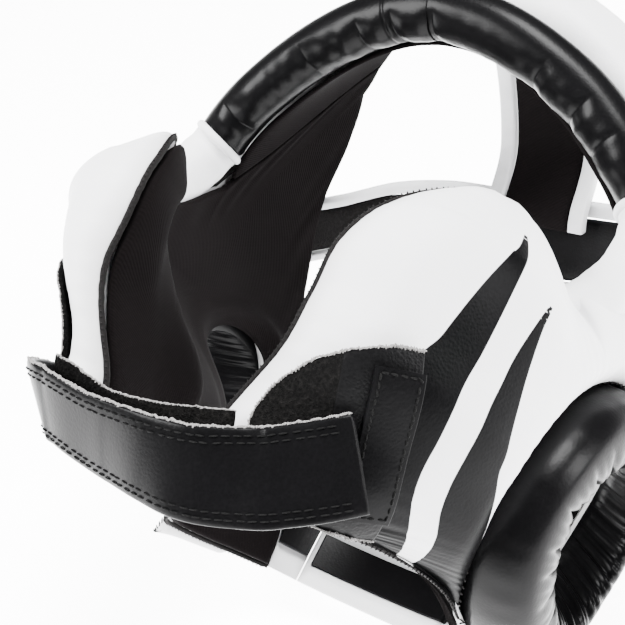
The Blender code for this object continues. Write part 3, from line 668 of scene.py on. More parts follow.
flat, azimuth, level = side_grid(shares)
rim_run = length_along(side_rim)[:, None]
from_rim = outline_distance(flat, RIM)[0]
from_ear = ear_distance(flat, EAR_OUTER_RADIUS + PANEL_GAP)
high = pad_height(azimuth, level)
rim_folds = ripple(rim_run, 0.012) * np.exp(-from_rim / 0.007) * step(from_rim / 0.003)
ear_folds = 0.4 * ripple(rim_run + 0.3, 0.016) * np.exp(-from_ear / 0.008) * step(from_ear / 0.002)
calm = 1 - 0.8 * step((azimuth - 50) / 14) * step((-0.45 - level) / 0.15)
high = high + SEAM_PUCKER * calm * (rim_folds + 0.9 * ear_folds)
signed = [np.where(inside, -near, near) for near, inside in (outline_distance(flat, e) for e in panel_edges)]
panel = np.minimum(*signed)
marks = {"panel": panel, "seam": np.minimum(from_rim, from_ear)}
rim_places = from_flat(side_rim)
rim_turn, rim_level = rim_places[:, 0], rim_places[:, 1]
temple = step((rim_turn - 60) / 6) * step((78 - rim_turn) / 2)
temple = temple * step((0.34 - rim_level) / 0.1) * step(rim_level / 0.06)
cheek = step((62 - rim_turn) / 8) * step((rim_turn - 26) / 14) * step((rim_level + 0.1) / 0.1)
jaw = step((rim_turn - 66) / 16) * step((136 - rim_turn) / 8) * step((-0.78 - rim_level) / 0.05)
overhang = (TEMPLE_OVERHANG * temple + CHEEK_OVERHANG * cheek + JAW_OVERHANG * jaw)[:, None]
outward = unit(side_rim - ear_loop(side_rim, EAR_OUTER_RADIUS + PANEL_GAP))
bulge = np.sin(math.pi * np.clip(from_rim / OVERHANG_REACH, 0, 1) ** 0.55)
bulged = from_flat(flat + outward[:, None, :] * (overhang * bulge)[..., None])
drawn_in = rounded(from_rim, FAR_CHEEK_ROUND) / np.maximum(rounded(from_rim, PAD_ROUND), 0.01)
drawn_in = 1 - (1 - drawn_in) * step((66 - azimuth) / 16) * step((level + 0.35) / 0.3)
for side, label in SIDES:
    lifted = high if side > 0 else PAD_FOOT + (high - PAD_FOOT) * drawn_in
    top = skin(side * bulged[..., 0], bulged[..., 1], lifted)
    bottom = skin(side * azimuth, level, LINING_THICKNESS + LAYER_GAP)
    piece = slab("side_leather_" + label, top, bottom, SIDE_LEATHER, marks, ring=True)
    fit(piece, "white_leather", "side_pad_" + label)
    (edge, seam), (inner, foot) = ([ring_closed(grid[:, k]) for k in (0, -1)] for grid in (top, bottom))
    outward = np.cross(np.gradient(edge, axis=0), edge - inner)
    outward = unit(outward * np.sign(((edge - top[:, 6].mean(0)) * outward).sum()))
    rise = unit(edge - inner)
    small = np.linspace(0, 2 * math.pi, 8, endpoint=False)[None, :, None]
    bead = (outward[:-1, None] * np.cos(small) + rise[:-1, None] * np.sin(small)) * EDGE_CORD_RADIUS
    middle = 0.5 * (edge + inner) + outward * 0.0002
    fit(tube("side_edge_cord_" + label, middle[:-1, None] + bead, OVERLOCK, ring=True), "black_leather")
    beside = middle + rise * 0.7 * EDGE_CORD_RADIUS + outward * 0.5 * EDGE_CORD_RADIUS
    stitches = thread("side_overlock_" + label, beside, rise, *RIM_STITCH, OVERLOCK, 1.2, 0.12)
    fit(stitches, "black_leather")
    stitches = thread("ear_seam_stitches_" + label, seam, seam - foot, *EAR_STITCH, OVERLOCK, 0.5, 0.1)
    fit(stitches, "black_leather")


# Side linings: dark twill over soft foam behind each side pad, fuller at the cheek, with a raised
# arch sewn round the ear opening.
EAR_ARCH = 0.0032
LINING_PUCKER = 0.0006


def twill(name, scale=1.0):
    """Brushed black-brown twill: slanted ribs with stray fibres."""
    made = Finish(name, Roughness=0.95, Specular_IOR_Level=0.03)
    across, up = made.mark("across"), made.mark("up")
    pitch = 0.0011 * scale
    ribs = ((across + up * 0.8) * (2 * math.pi / pitch)).sin() * 0.5 + 0.5
    picks = ((across * 0.9 - up) * (2 * math.pi / (1.7 * pitch))).sin() * 0.5 + 0.5
    fuzz = made.noise(1900.0, 3.0)
    cloud = made.noise(60.0, 3.0)
    weave = ribs * 0.6 + picks * 0.15 + fuzz * 0.25
    colour = made.mix(weave * 0.7 + cloud * 0.3, (0.0012, 0.0010, 0.0010, 1), (0.0046, 0.0036, 0.0038, 1))
    return made.set(Base_Color=colour, Normal=made.bump(weave, 0.00018, 0.6))


LINING_TWILL = twill("lining_twill")
flat, azimuth, level = side_grid(np.linspace(0, 1, 30) ** 1.2, np.linspace(0, 1, 14)[1:])
from_rim = outline_distance(flat, RIM)[0]
from_ear = ear_distance(flat, EAR_OPENING_RADIUS + LINING_STEP, EAR_SLANT)
fullness = step((62 - azimuth) / 24) * step((0.2 - level) / 0.2)
rim_depth = SEAM_GROOVE + SEAM_EDGE
swell = LINING_THICKNESS + (CHEEK_LINING_THICKNESS - LINING_THICKNESS) * fullness - rim_depth
shape = rounded(from_rim, 1.1 * swell) * rounded(from_ear, LINING_ROUND)
arch = EAR_ARCH * np.exp(-(((from_ear - 0.0065) / 0.0036) ** 2))
folds = 0.5 * LINING_PUCKER * ripple(rim_run, 0.034) * np.exp(-((from_rim - 0.006) / 0.006) ** 2)
low = LINING_THICKNESS - rim_depth - swell * shape - arch + folds
groove = SEAM_GROOVE * (1 - rounded(from_rim, LINING_ROUND))
marks = {"across": flat[..., 0], "up": flat[..., 1], "seam": from_rim}
for side, label in SIDES:
    top = skin(side * azimuth, level, LINING_THICKNESS - groove)
    bottom = skin(side * azimuth, level, low)
    piece = slab("cheek_lining_" + label, top, bottom, LINING_TWILL, marks, ring=True)
    fit(piece, "knitted_lining", "side_lining_" + label)


# Ear rolls: a foam ring in black leather round each ear opening, the leather drawn in towards the
# opening in deep gathers.
EAR_GATHER = 0.0030
BLACK_TONES = ((0.0008, 0.0008, 0.0009, 1), (0.0032, 0.0031, 0.0034, 1))


def black_leather(name, gloss=0.0):
    """Semi-gloss black leather: pebbled, a little greyer where it is stretched."""
    made = Finish(name, Specular_IOR_Level=0.045, Coat_Weight=gloss, Coat_Roughness=0.25)
    grain = leather_grain(made)
    cloud = made.noise(42.0, 3.0)
    colour = made.mix(grain * 0.6 + cloud * 0.4, *BLACK_TONES)
    rough = 0.23 + cloud * 0.10 + grain * 0.06
    height = grain + made.noise(300.0, 2.0) * 0.15
    return made.set(Base_Color=colour, Roughness=rough, Normal=made.bump(height, 0.00010, 0.5))


ROLL_LEATHER = black_leather("roll_leather", 0.03)
turn = np.linspace(0, 2 * math.pi, 320, endpoint=False)
wrap = np.linspace(0, 2 * math.pi, 44, endpoint=False)
t, w = np.meshgrid(turn, wrap, indexing="ij")
share = 0.5 + 0.5 * np.sign(np.cos(w)) * np.abs(np.cos(w)) ** 0.85
rise = np.maximum(np.sin(w), 0) ** 0.75
lobes = np.abs(np.sin(11 * t + 0.9 * np.sin(3 * t) + 0.5 * np.sin(7 * t))) ** 0.6
fine_lobes = np.abs(np.sin(23 * t + 1.4 * np.sin(2 * t))) ** 0.7
inward = step((0.62 - share) / 0.55)
gather = EAR_GATHER * (0.7 * lobes + 0.3 * fine_lobes - 0.75) * inward * step(rise / 0.12)
outer_folds = 0.0005 * ripple(t * EAR_OUTER_RADIUS, 0.011) * step((share - 0.75) / 0.25) * step(rise / 0.1)
low = LINING_THICKNESS + 1.5 * PANEL_GAP
lift = low + EAR_ROLL_HEIGHT * rise + (gather + outer_folds) * rise
radius = EAR_OPENING_RADIUS + EAR_ROLL_WIDTH * share - gather * (1 - share)
drift = (1 - share) * (1 - rise)
centre = on_flat(EAR_CENTRE)
x = centre[0] + EAR_SLANT[0] * drift + radius * np.cos(t)
y = centre[1] + EAR_SLANT[1] * drift + EAR_ROLL_TALL * radius * np.sin(t)
places = from_flat(np.stack([x, y], -1))
for side, label in SIDES:
    sections = skin(side * places[..., 0], places[..., 1], lift)
    piece = tube("ear_ring_" + label, sections, ROLL_LEATHER, ring=True)
    fit(piece, "black_leather", "ear_roll_" + label)


# Forehead pad: white leather over foam above the brow roll, with its twill lining behind it.
FOREHEAD_PADDING = 0.015
FOREHEAD_ROUND = 0.014
FOREHEAD_SLOPE = 1.3
FOREHEAD_END = 75.6
BROW_LINING_THICKNESS = 0.002
BROW_ROLL_RADIUS = 0.0098
BROW_ROLL_RAISE = 0.0005
BROW_ROLL_END = 70
# Edges of the forehead: azimuth and level
BROW_LINE = [(0, 0.715), (14, 0.705), (27, 0.67), (40, 0.61), (50, 0.545), (58, 0.475), (66, 0.41)]
BROW_LINE += [(76, 0.32)]
CROWN_LINE = [(0, 0.985), (30, 0.975), (50, 0.94), (66, 0.89), (76, 0.86), (88, 0.80), (98, 0.67)]
CROWN_LINE += [(104, 0.51)]


def line_at(table, azimuth):
    points = curve_through(table, 200)
    return np.interp(np.abs(azimuth), points[:, 0], points[:, 1])


azimuth = np.linspace(-FOREHEAD_END, FOREHEAD_END, 260)[:, None]
brow = line_at(BROW_LINE, azimuth)
seam_level = brow + (BROW_ROLL_RADIUS + BROW_ROLL_RAISE + 3 * PANEL_GAP) / CROWN_HEIGHT
crown = line_at(CROWN_LINE, azimuth)
level = seam_level + (crown - seam_level) * (0.5 - 0.5 * np.cos(np.linspace(0, math.pi, 30)))[None, :]
rise = (level - level[:, :1]) * CROWN_HEIGHT * FOREHEAD_SLOPE
edge = np.minimum(rise, rise[:, -1:] - rise)
run = np.radians(azimuth) * FACE_REACH
from_end = (FOREHEAD_END - np.abs(azimuth)) / 57.3 * HEAD_HALF_WIDTH
puckers = SEAM_PUCKER * ripple(run, 0.010) * np.exp(-edge / 0.006) * step(edge / 0.002)
low = BROW_LINING_THICKNESS + LAYER_GAP
high = low + SEAM_EDGE + FOREHEAD_PADDING * rounded(edge, FOREHEAD_ROUND) + puckers
FOREHEAD_LEATHER = white_leather("forehead_leather", False)
azimuth = azimuth + 0 * level
marks = {"seam": np.minimum(edge, from_end)}
top, bottom = skin(azimuth, level, high), skin(azimuth, level, low)
piece = slab("forehead_leather", top, bottom, FOREHEAD_LEATHER, marks)
fit(piece, "white_leather", "forehead_pad")

level = np.concatenate([brow + (seam_level - brow) * np.linspace(0, 1, 6)[None, :-1], level], 1)
azimuth = azimuth[:, :1] + 0 * level
rise = (level - level[:, :1]) * CROWN_HEIGHT * FOREHEAD_SLOPE
edge = np.minimum(rise, rise[:, -1:] - rise)
swell = BROW_LINING_THICKNESS - SEAM_EDGE
low = swell - swell * rounded(edge, LINING_ROUND)
marks = {"across": run + 0 * level, "up": rise, "seam": edge}
top, bottom = skin(azimuth, level, BROW_LINING_THICKNESS), skin(azimuth, level, low)
piece = slab("brow_lining", top, bottom, LINING_TWILL, marks)
fit(piece, "knitted_lining", "forehead_lining")


# Brow roll: black leather over a foam cord along the forehead's lower edge, gathered on its inner
# side, with cross seams where its lengths join.
BROW_GATHER = 0.0016
CROSS_SEAMS = (-15.0,)
CROSS_SEAM_DEPTH = 0.0003


def brow_frame(steps):
    azimuth = np.linspace(-BROW_ROLL_END, BROW_ROLL_END, steps)
    level = line_at(BROW_LINE, azimuth)
    root = skin(azimuth, level, BROW_LINING_THICKNESS + LAYER_GAP)
    along = unit(np.gradient(root, axis=0))
    out = square_to(along, skin(azimuth, level, 0.01) - root)
    up = np.cross(out, along)
    centre = root + out * (BROW_ROLL_RADIUS + LAYER_GAP) + up * BROW_ROLL_RAISE
    return azimuth, centre, along, out, up


azimuth, centre, along, out, up = brow_frame(420)
run = length_along(centre)[:, None]
wrap = np.linspace(0, 2 * math.pi, 40, endpoint=False)[None, :]
inner = step((-np.sin(wrap + 0.35) - 0.45) / 0.5)
lobes = np.abs(np.sin(math.pi * run / 0.024 + 1.3 * np.sin(run * 70))) ** 0.6
gather = BROW_GATHER * (lobes - 0.85) * inner + 0.0002 * ripple(run, 0.012) * inner
for place in CROSS_SEAMS:
    gather = gather - CROSS_SEAM_DEPTH * np.exp(-(((azimuth[:, None] - place) / 0.4) ** 2))
radius = BROW_ROLL_RADIUS + gather
piece = tube("brow_leather", round_sections(centre, out, up, wrap, radius), ROLL_LEATHER)
fit(piece, "black_leather", "brow_roll")


# Temple rolls: the brow roll's white ends, which run down into each side pad's front edge, with a
# white piping ring round the join.
TEMPLE_ROLL_PATH = [
    (69.3, 0.380, 0.0128, 0.0098),
    (71.5, 0.320, 0.0130, 0.0100),
    (72.0, 0.230, 0.0125, 0.0100),
    (69.5, 0.140, 0.0110, 0.0088),
    (65.5, 0.065, 0.0080, 0.0060),
    (62.0, 0.020, 0.0060, 0.0025),
]
PIPING_RADIUS = 0.0017
TEMPLE_LEATHER = white_leather("temple_leather", False)
path = curve_through(TEMPLE_ROLL_PATH, 70)
wrap = np.linspace(0, 2 * math.pi, 36, endpoint=False)
for side, label in SIDES:
    line = skin(side * path[:, 0], path[:, 1], path[:, 2])
    forward = unit(np.gradient(line, axis=0))
    out = square_to(forward, skin(side * path[:, 0], path[:, 1], path[:, 2] + 0.01) - line)
    aside = np.cross(out, forward)
    run = length_along(line)[:, None]
    radius = path[:, 3:] * (1 + 0.02 * ripple(run, 0.012)) + 0 * wrap
    sections = round_sections(line, out, aside, wrap, radius)
    # The seam mark greys the roll's upper end a little with painted shade.
    piece = tube("temple_roll_" + label, sections, TEMPLE_LEATHER, {"seam": 0.004 + run + 0 * wrap})
    fit(piece, "white_leather")
    around = np.linspace(0, 2 * math.pi, 90, endpoint=False)
    arm = out[2] * np.cos(around)[:, None] + aside[2] * np.sin(around)[:, None]
    small = np.linspace(0, 2 * math.pi, 10, endpoint=False)
    hoop = line[2] + arm[:, None] * (path[2, 3] + PIPING_RADIUS * np.cos(small))[None, :, None]
    hoop = hoop + forward[2] * (PIPING_RADIUS * np.sin(small))[None, :, None]
    # A fixed seam mark, which greys the whole piping a little with painted shade.
    marks = {"seam": 0.004 + 0 * hoop[..., 0]}
    fit(tube("temple_piping_" + label, hoop, TEMPLE_LEATHER, marks, ring=True), "white_leather")


# Rear band: black leather closing band across the back with a patch of loop fabric at its right
# end, bound along both edges with white ribbon.
REAR_BAND_WIDTH = 0.022
REAR_BAND_THICKNESS = 0.0042
REAR_BAND_LIFT = 0.004
REAR_BAND_LINE = [(98, 0.30), (104, 0.355), (111, 0.43), (124, 0.56), (141, 0.64), (161, 0.675), (180, 0.68)]
BAND_BINDING_WIDTH = 0.005
BINDING_THICKNESS = 0.0060
SEAM_ANGLE = 0.9
BAND_START = 107
LOOP_PATCH_START = 208.0


def past_back(azimuth):
    """Azimuths beyond the middle of the back, as the right side counts them."""
    return np.where(azimuth > 180, azimuth - 360, azimuth)


def rear_edge(level):
    places = from_flat(RIM)
    rear = places[(places[:, 0] > 98) & (places[:, 1] < 0.62)]
    order = np.argsort(rear[:, 1])
    return np.interp(level, rear[order, 1], rear[order, 0])


def band_level(azimuth):
    return line_at(REAR_BAND_LINE, 180 - np.abs(180 - azimuth))


def strip_across_back(low_edge, high_edge, lift, thickness, columns):
    """Top, bottom and marks of a strip across the back, with its edges off the band's middle."""
    row = np.linspace(low_edge, high_edge, columns)[None, :] / CROWN_HEIGHT
    start = BAND_START + 0 * row
    for _ in range(12):
        start = 0.5 * (start + rear_edge(row + band_level(start)) + SEAM_ANGLE)
    azimuth = start + (360 - 2 * start) * np.linspace(0, 1, 260)[:, None]
    level = band_level(azimuth) + row
    turned = past_back(azimuth)
    across = np.linspace(-1, 1, columns)[None, :]
    round_edge = np.sqrt(np.clip(1 - np.abs(across) ** 4, 0.02, 1))
    middle = lift + 0.5 * thickness
    top = skin(turned, level, middle + 0.5 * thickness * round_edge)
    bottom = skin(turned, level, middle - 0.5 * thickness * round_edge)
    run = np.radians(azimuth) * REAR_REACH
    return top, bottom, {"across": run, "up": row * CROWN_HEIGHT + 0 * run, "turned": azimuth}


def ribbon(name):
    """White bias ribbon: fine ribs across, its white painted grey all over as shade, in uneven patches."""
    made = Finish(name, Roughness=0.6, Specular_IOR_Level=0.35, Sheen_Weight=0.2)
    ribs = (made.mark("across") * (2 * math.pi / 0.0009)).sin() * 0.5 + 0.5
    cloud = made.noise(150.0, 3.0)
    # Painted shade: the white ribbon is coloured greyer than the white leather, and varies at random in
    # patches.
    colour = made.mix(cloud, (0.42, 0.42, 0.435, 1), (0.56, 0.56, 0.57, 1))
    return made.set(Base_Color=colour, Normal=made.bump(ribs * 0.4 + cloud, 0.0002, 0.6))


def loop_height(finish):
    """Tangled loops, 0 to 1."""
    return finish.noise(2100.0, 3.0) * 0.6 + finish.cells(900.0) * 0.4


def band_finish():
    """Black leather, with loop fabric from where the band's patch starts."""
    made = Finish("band_leather", Specular_IOR_Level=0.05)
    loops = loop_height(made)
    grain = leather_grain(made)
    patch = made.mark("turned").between(LOOP_PATCH_START - 0.3, LOOP_PATCH_START + 0.3)
    leather = made.mix(grain, *BLACK_TONES)
    fabric = made.mix(loops ** 2, (0.0006, 0.0006, 0.0006, 1), (0.012, 0.011, 0.011, 1))
    height = grain * (1 - patch) + loops * patch * 3
    rough = 0.42 + patch * 0.5
    colour = made.mix(patch, leather, fabric)
    return made.set(Base_Color=colour, Roughness=rough, Normal=made.bump(height, 0.00018, 0.7))


RIBBON = ribbon("white_ribbon")
half = 0.5 * REAR_BAND_WIDTH
top, bottom, marks = strip_across_back(-half, half, REAR_BAND_LIFT, REAR_BAND_THICKNESS, 22)
fit(slab("closing_band", top, bottom, band_finish(), marks), "black_leather", "rear_band")
spare = 0.5 * (BINDING_THICKNESS - REAR_BAND_THICKNESS)
for label, sign in (("upper", 1), ("lower", -1)):
    ends = sorted((sign * (half + LAYER_GAP), sign * (half + LAYER_GAP + BAND_BINDING_WIDTH)))
    top, bottom, marks = strip_across_back(*ends, REAR_BAND_LIFT - spare, BINDING_THICKNESS, 11)
    fit(slab("band_ribbon_" + label, top, bottom, RIBBON, marks), "white_leather", "rear_binding_" + label)


# Crown strap: black strap from the forehead pad over the crown to the rear band, with white
# ribbon along both edges.
CROWN_STRAP_WIDTH = 0.030
CROWN_BINDING_WIDTH = 0.007
CROWN_STRAP_THICKNESS = 0.0036
CROWN_STRAP_RISE = 0.014
CROWN_STRAP_SAG = 0.0050
CROWN_STRAP_OVERLAP = 0.015
CROWN_STRAP_TURN = 0.033
CROWN_STRAP_TAIL = 0.009
CROWN_STRAP_TURN_LIFT = 0.008
SEAM_LEVEL = 0.012


def widening(count, spread):
    """How much wider a strap is at each step along it, growing towards its end."""
    return 1 + spread * step(np.linspace(-0.6, 1, count))[:, None]


def strap_sections(centre, across, width, thickness, sides=28, spread=0.0):
    """Rounded flat sections along a line, with where each point lies across and along the strap."""
    along = unit(np.gradient(centre, axis=0))
    across = square_to(along, across)
    out = np.cross(along, across)
    wrap = np.linspace(0, 2 * math.pi, sides, endpoint=False)
    wide = np.sign(np.cos(wrap)) * np.abs(np.cos(wrap)) ** 0.35
    deep = np.sign(np.sin(wrap)) * np.abs(np.sin(wrap)) ** 0.55
    deep = deep * (0.5 * thickness)
    wider = widening(len(centre), spread)[..., None]
    sections = centre[:, None] + across[:, None] * wider * (0.5 * width * wide)[None, :, None]
    sections = sections + out[:, None] * deep[None, :, None]
    run = length_along(centre)
    marks = {
        "across": run[:, None] + 0 * wide[None, :],
        "up": 0.5 * width * wide[None, :] + 0 * run[:, None],
    }
    return sections, marks, across, out


front = skin(0, CROWN_LINE[0][1] + SEAM_LEVEL, BROW_LINING_THICKNESS + CROWN_STRAP_THICKNESS)
back_lift = REAR_BAND_LIFT + 0.5 * REAR_BAND_THICKNESS - BINDING_THICKNESS - CROWN_STRAP_SAG
back = skin(180, band_level(180) + CROWN_STRAP_TAIL / CROWN_HEIGHT, back_lift)
rim = skin(180, band_level(180) + CROWN_STRAP_OVERLAP / CROWN_HEIGHT, back_lift)
over = skin(180, band_level(180) + CROWN_STRAP_TURN / CROWN_HEIGHT, back_lift + CROWN_STRAP_TURN_LIFT)
top = np.array([0, 0.5 * (front[1] + over[1]), CROWN_HEIGHT + CROWN_STRAP_RISE])
line = curve_through([front, top, over, rim, back], 130)
leaned = np.tile(np.array([1.0, 0.0, SIDE_LEAN]), (len(line), 1))
WEBBING = twill("strap_webbing", 1.3)
sections, marks, _, _ = strap_sections(line, leaned, CROWN_STRAP_WIDTH, CROWN_STRAP_THICKNESS)
fit(tube("top_strap", sections, WEBBING, marks), "black_leather", "crown_strap")
offset = 0.5 * (CROWN_STRAP_WIDTH + CROWN_BINDING_WIDTH) + LAYER_GAP
for sign, label in SIDES:
    edge = line + leaned * sign * offset
    sections, marks, _, _ = strap_sections(edge, leaned, CROWN_BINDING_WIDTH, BINDING_THICKNESS)
    fit(tube("top_ribbon_" + label, sections, RIBBON, marks), "white_leather", "crown_binding_" + label)


# Nape pad and wings: white leather over thick foam at the back of the neck, pressed flat where the
# headgear rests, with puckered wings to the side pads and black leather on the inner side.
NAPE_PADDING = 0.026
NAPE_ROUND = 0.022
NAPE_LEVELS = (-0.90, -0.38)
NAPE_LINING_LEVELS = (-0.82, -0.67)
WING_LINING_LEVELS = (-0.79, -0.40)
NAPE_PAD_START = 156.2
NAPE_LINING_START = 158
WING_END = 155.9
NAPE_REST_LEVEL = -0.62
NAPE_FLATTENING = 0.005
NAPE_PUCKER = 0.0011
INNER_ROLL_DEPTH = 0.006
INNER_ROLLS = [(-0.525, 0.14), (-0.865, 0.05)]


def flattened(points):
    """Points pressed back to the plane that the headgear rests on."""
    down = np.array([0, math.sin(RECLINE), -math.cos(RECLINE)])
    rest = skin(180, NAPE_REST_LEVEL, LINING_THICKNESS + NAPE_PADDING)
    over = np.maximum((points - rest) @ down + NAPE_FLATTENING, 0)
    return points - over[..., None] * down


def nape_piece(name, side, start, end, levels, low, high, swell, pucker, finish, inner_rolls=0.0):
    """A crowned panel at the nape; with no start it follows the side pad's rear edge."""
    share = np.linspace(0, 1, 90)[:, None]
    up = (0.5 - 0.5 * np.cos(np.linspace(0, math.pi, 34)))[None, :]
    level = levels[0] + (levels[1] - levels[0]) * up
    first = rear_edge(level) + SEAM_ANGLE if start is None else start + 0 * level
    azimuth = first + (end - first) * share
    level = level + 0 * share
    from_start = np.radians(azimuth - first) * REAR_REACH
    from_end = np.radians(end - azimuth) * REAR_REACH
    from_long = np.minimum(up, 1 - up) * (levels[1] - levels[0]) * CHIN_DEPTH + 0 * share
    edge = np.minimum(np.minimum(from_start, from_end), from_long)
    folds = ripple(np.radians(azimuth) * REAR_REACH, 0.011) * np.exp(-from_long / 0.009) * step(edge / 0.003)
    folds = folds + ripple(level * CHIN_DEPTH, 0.009) * np.exp(-from_end / 0.008) * step(edge / 0.003)
    marks = {"seam": edge, "across": np.radians(azimuth) * REAR_REACH, "up": level * CHIN_DEPTH}
    azimuth = past_back(azimuth if side > 0 else 360 - azimuth)
    top = skin(azimuth, level, high + swell * rounded(edge, NAPE_ROUND) + pucker * folds)
    rolls = sum(np.clip(1 - ((level - middle) / reach) ** 2, 0, 1) ** 0.6 for middle, reach in INNER_ROLLS)
    bottom = skin(azimuth, level, low - inner_rolls * rolls * rounded(edge, 0.012))
    return slab(name, flattened(top), bottom, finish, marks)


NAPE_LEATHER = white_leather("nape_leather", False)
PANEL_LEATHER = black_leather("panel_leather")
pad_low, lining_high = LINING_THICKNESS, LINING_THICKNESS - LAYER_GAP
pad_high = pad_low + SEAM_EDGE
for side, label in SIDES:
    name, swell = "nape_fold_" + label, 0.5 * NAPE_PADDING
    wing = (side, None, WING_END)
    piece = nape_piece(name, *wing, NAPE_LEVELS, pad_low, pad_high, swell, NAPE_PUCKER, NAPE_LEATHER)
    fit(piece, "white_leather", "nape_wing_" + label)
    name = "nape_fold_back_" + label
    piece = nape_piece(name, *wing, WING_LINING_LEVELS, 0, lining_high, 0, 0, PANEL_LEATHER)
    fit(piece, "black_leather", "wing_lining_" + label)
reach = (1, NAPE_PAD_START, 360 - NAPE_PAD_START)
shape = (pad_low, pad_high, NAPE_PADDING, 0.6 * NAPE_PUCKER)
piece = nape_piece("nape_cushion", *reach, NAPE_LEVELS, *shape, NAPE_LEATHER, INNER_ROLL_DEPTH)
fit(piece, "white_leather", "nape_pad")
reach = (1, NAPE_LINING_START, 360 - NAPE_LINING_START)
shape = (0, lining_high, 0, 0)
piece = nape_piece("nape_cushion_back", *reach, NAPE_LINING_LEVELS, *shape, PANEL_LEATHER)
fit(piece, "black_leather", "nape_lining")


# Strap tabs: an oval flap of loop fabric backed with leather on each cheek, its cut edge frayed,
# sewn down at the back under a black leather patch.
TAB_LENGTH = 0.0385
TAB_HEIGHT = 0.050
TAB_THICKNESS = 0.0014
PATCH_WIDTH = 0.0115
PATCH_HEIGHT = 0.0385
PATCH_THICKNESS = 0.0012
TAB_PLACE = (35.6, -0.673)
TAB_TILT = math.radians(24)
TAB_GAP = 0.0016
TAB_RIM_GAP = 0.0030
FAR_TAB_SHIFT = (0.008, -0.001)
LOOP_TONES = ((0.0004, 0.0004, 0.0004, 1), (0.014, 0.013, 0.0125, 1))
PATCH_STITCH = (0.0024, 0.0021, 0.00036)
PATCH_STITCH_INSET = 0.0013
LEATHER_STRIP = 0.0065


def tab_points(side, x, y, lift):
    """Places on a side pad under a tab's own flat coordinates."""
    s, c = math.sin(TAB_TILT), math.cos(TAB_TILT)
    middle = on_flat(TAB_PLACE)
    places = from_flat(np.stack([middle[0] + c * x - s * y, middle[1] + s * x + c * y], -1))
    azimuth, level = places[..., 0], places[..., 1]
    rim = outline_distance(on_flat(places), RIM)[0]
    low = pad_height(azimuth, level) + lift + TAB_RIM_GAP * (1 - rounded(rim, PAD_ROUND))
    return skin(side * azimuth, level, low), skin(side * azimuth, level, low + 0.001)


def tab_grid(length, height, centre, round_front):
    across = np.linspace(-0.5, 0.5, 60)[:, None]
    upward = 0.5 * np.sin(np.linspace(-0.5 * math.pi, 0.5 * math.pi, 60))[None, :]
    taper = np.sqrt(np.clip(1 - (2 * upward) ** 2, 0.04, 1)) if round_front else 1 + 0 * upward
    x = length * (0.5 + (across - 0.5) * taper)
    y = height * upward + 0 * x
    return x + centre[0], y + centre[1]


def loop_fabric(name):
    """Loop fabric: a black tangle of fine loops."""
    made = Finish(name, Roughness=0.9, Specular_IOR_Level=0.03)
    loops = loop_height(made)
    colour = made.mix(loops ** 3, *LOOP_TONES)
    return made.set(Base_Color=colour, Normal=made.bump(loops, 0.0009, 1.0))


def tab_fabric():
    """Loop fabric with a strip of leather where the mesh marks the tab's rear."""
    made = Finish("tab_fabric", Specular_IOR_Level=0.05)
    loops = loop_height(made)
    grain = leather_grain(made)
    rear = made.mark("rear").between(-0.0002, 0.0002)
    fabric = made.mix(loops ** 3, *LOOP_TONES)
    leather = made.mix(grain, (0.0010, 0.0010, 0.0011, 1), (0.0045, 0.0044, 0.0047, 1))
    height = grain * rear + loops * (1 - rear) * 5
    rough = 0.92 - rear * 0.5
    colour = made.mix(rear, fabric, leather)
    return made.set(Base_Color=colour, Roughness=rough, Normal=made.bump(height, 0.00018, 1.0))


def frayed_edge(name, line, out, radius, finish, seed):
    """The raw cut edge of a strap: short pale fibres lying every way along it."""
    chance = np.random.default_rng(seed)
    shift = chance.normal(0, 0.5 * radius, line.shape)
    return thread(name, line + shift, out, 0.00045, 0.0013, radius, finish, 0.3, 0.55, seed)


TAB_FABRIC = tab_fabric()
LOOPS = loop_fabric("loops")
FRAYED = black_thread("frayed_edge", (0.30, 0.29, 0.285, 1), (0.03, 0.029, 0.028, 1))
DARK_THREAD = black_thread("seam_thread", (0.006, 0.006, 0.006, 1), (0.001, 0.001, 0.001, 1))
for side, label in SIDES:
    shift = (0, 0) if side > 0 else FAR_TAB_SHIFT
    x, y = tab_grid(TAB_LENGTH, TAB_HEIGHT, shift, True)
    low = tab_points(side, x, y, TAB_GAP)[0]
    high = tab_points(side, x, y, TAB_GAP + TAB_THICKNESS)[0]
    rear_start = shift[0] + 0.5 * TAB_LENGTH - PATCH_WIDTH - LEATHER_STRIP
    piece = slab("cheek_tab_" + label, high, low, TAB_FABRIC, {"rear": x - rear_start})
    fit(piece, "loop_fabric", "strap_tab_" + label)
    edge, inside = (np.concatenate([g[::-1, 0], g[0, 1:-1], g[:, -1]]) for g in (high, low))
    fit(frayed_edge("tab_fray_" + label, edge, edge - inside, 0.00022, FRAYED, 5), "loop_fabric")
    centre = (shift[0] + 0.5 * (TAB_LENGTH - PATCH_WIDTH), shift[1])
    on_tab = TAB_GAP + TAB_THICKNESS + 2 * LAYER_GAP
    x, y = tab_grid(PATCH_WIDTH, PATCH_HEIGHT, centre, False)
    low = tab_points(side, x, y, on_tab)[0]
    high = tab_points(side, x, y, on_tab + PATCH_THICKNESS)[0]
    fit(slab("tab_patch_" + label, high, low, PANEL_LEATHER), "black_leather", "strap_patch_" + label)
    a, b = 0.5 * PATCH_WIDTH - PATCH_STITCH_INSET, 0.5 * PATCH_HEIGHT - PATCH_STITCH_INSET
    loop = np.array([(-a, -b), (a, -b), (a, b), (-a, b), (-a, -b)])
    spread = np.concatenate([np.linspace(p, q, 40)[:-1] for p, q in zip(loop, loop[1:])])
    sx, sy = spread[:, 0] + centre[0], spread[:, 1] + centre[1]
    seam, above = tab_points(side, sx, sy, on_tab + PATCH_THICKNESS)
    stitches = thread("patch_stitches_" + label, seam, above - seam, *PATCH_STITCH, DARK_THREAD, 0, 0.1)
    fit(stitches, "black_leather")


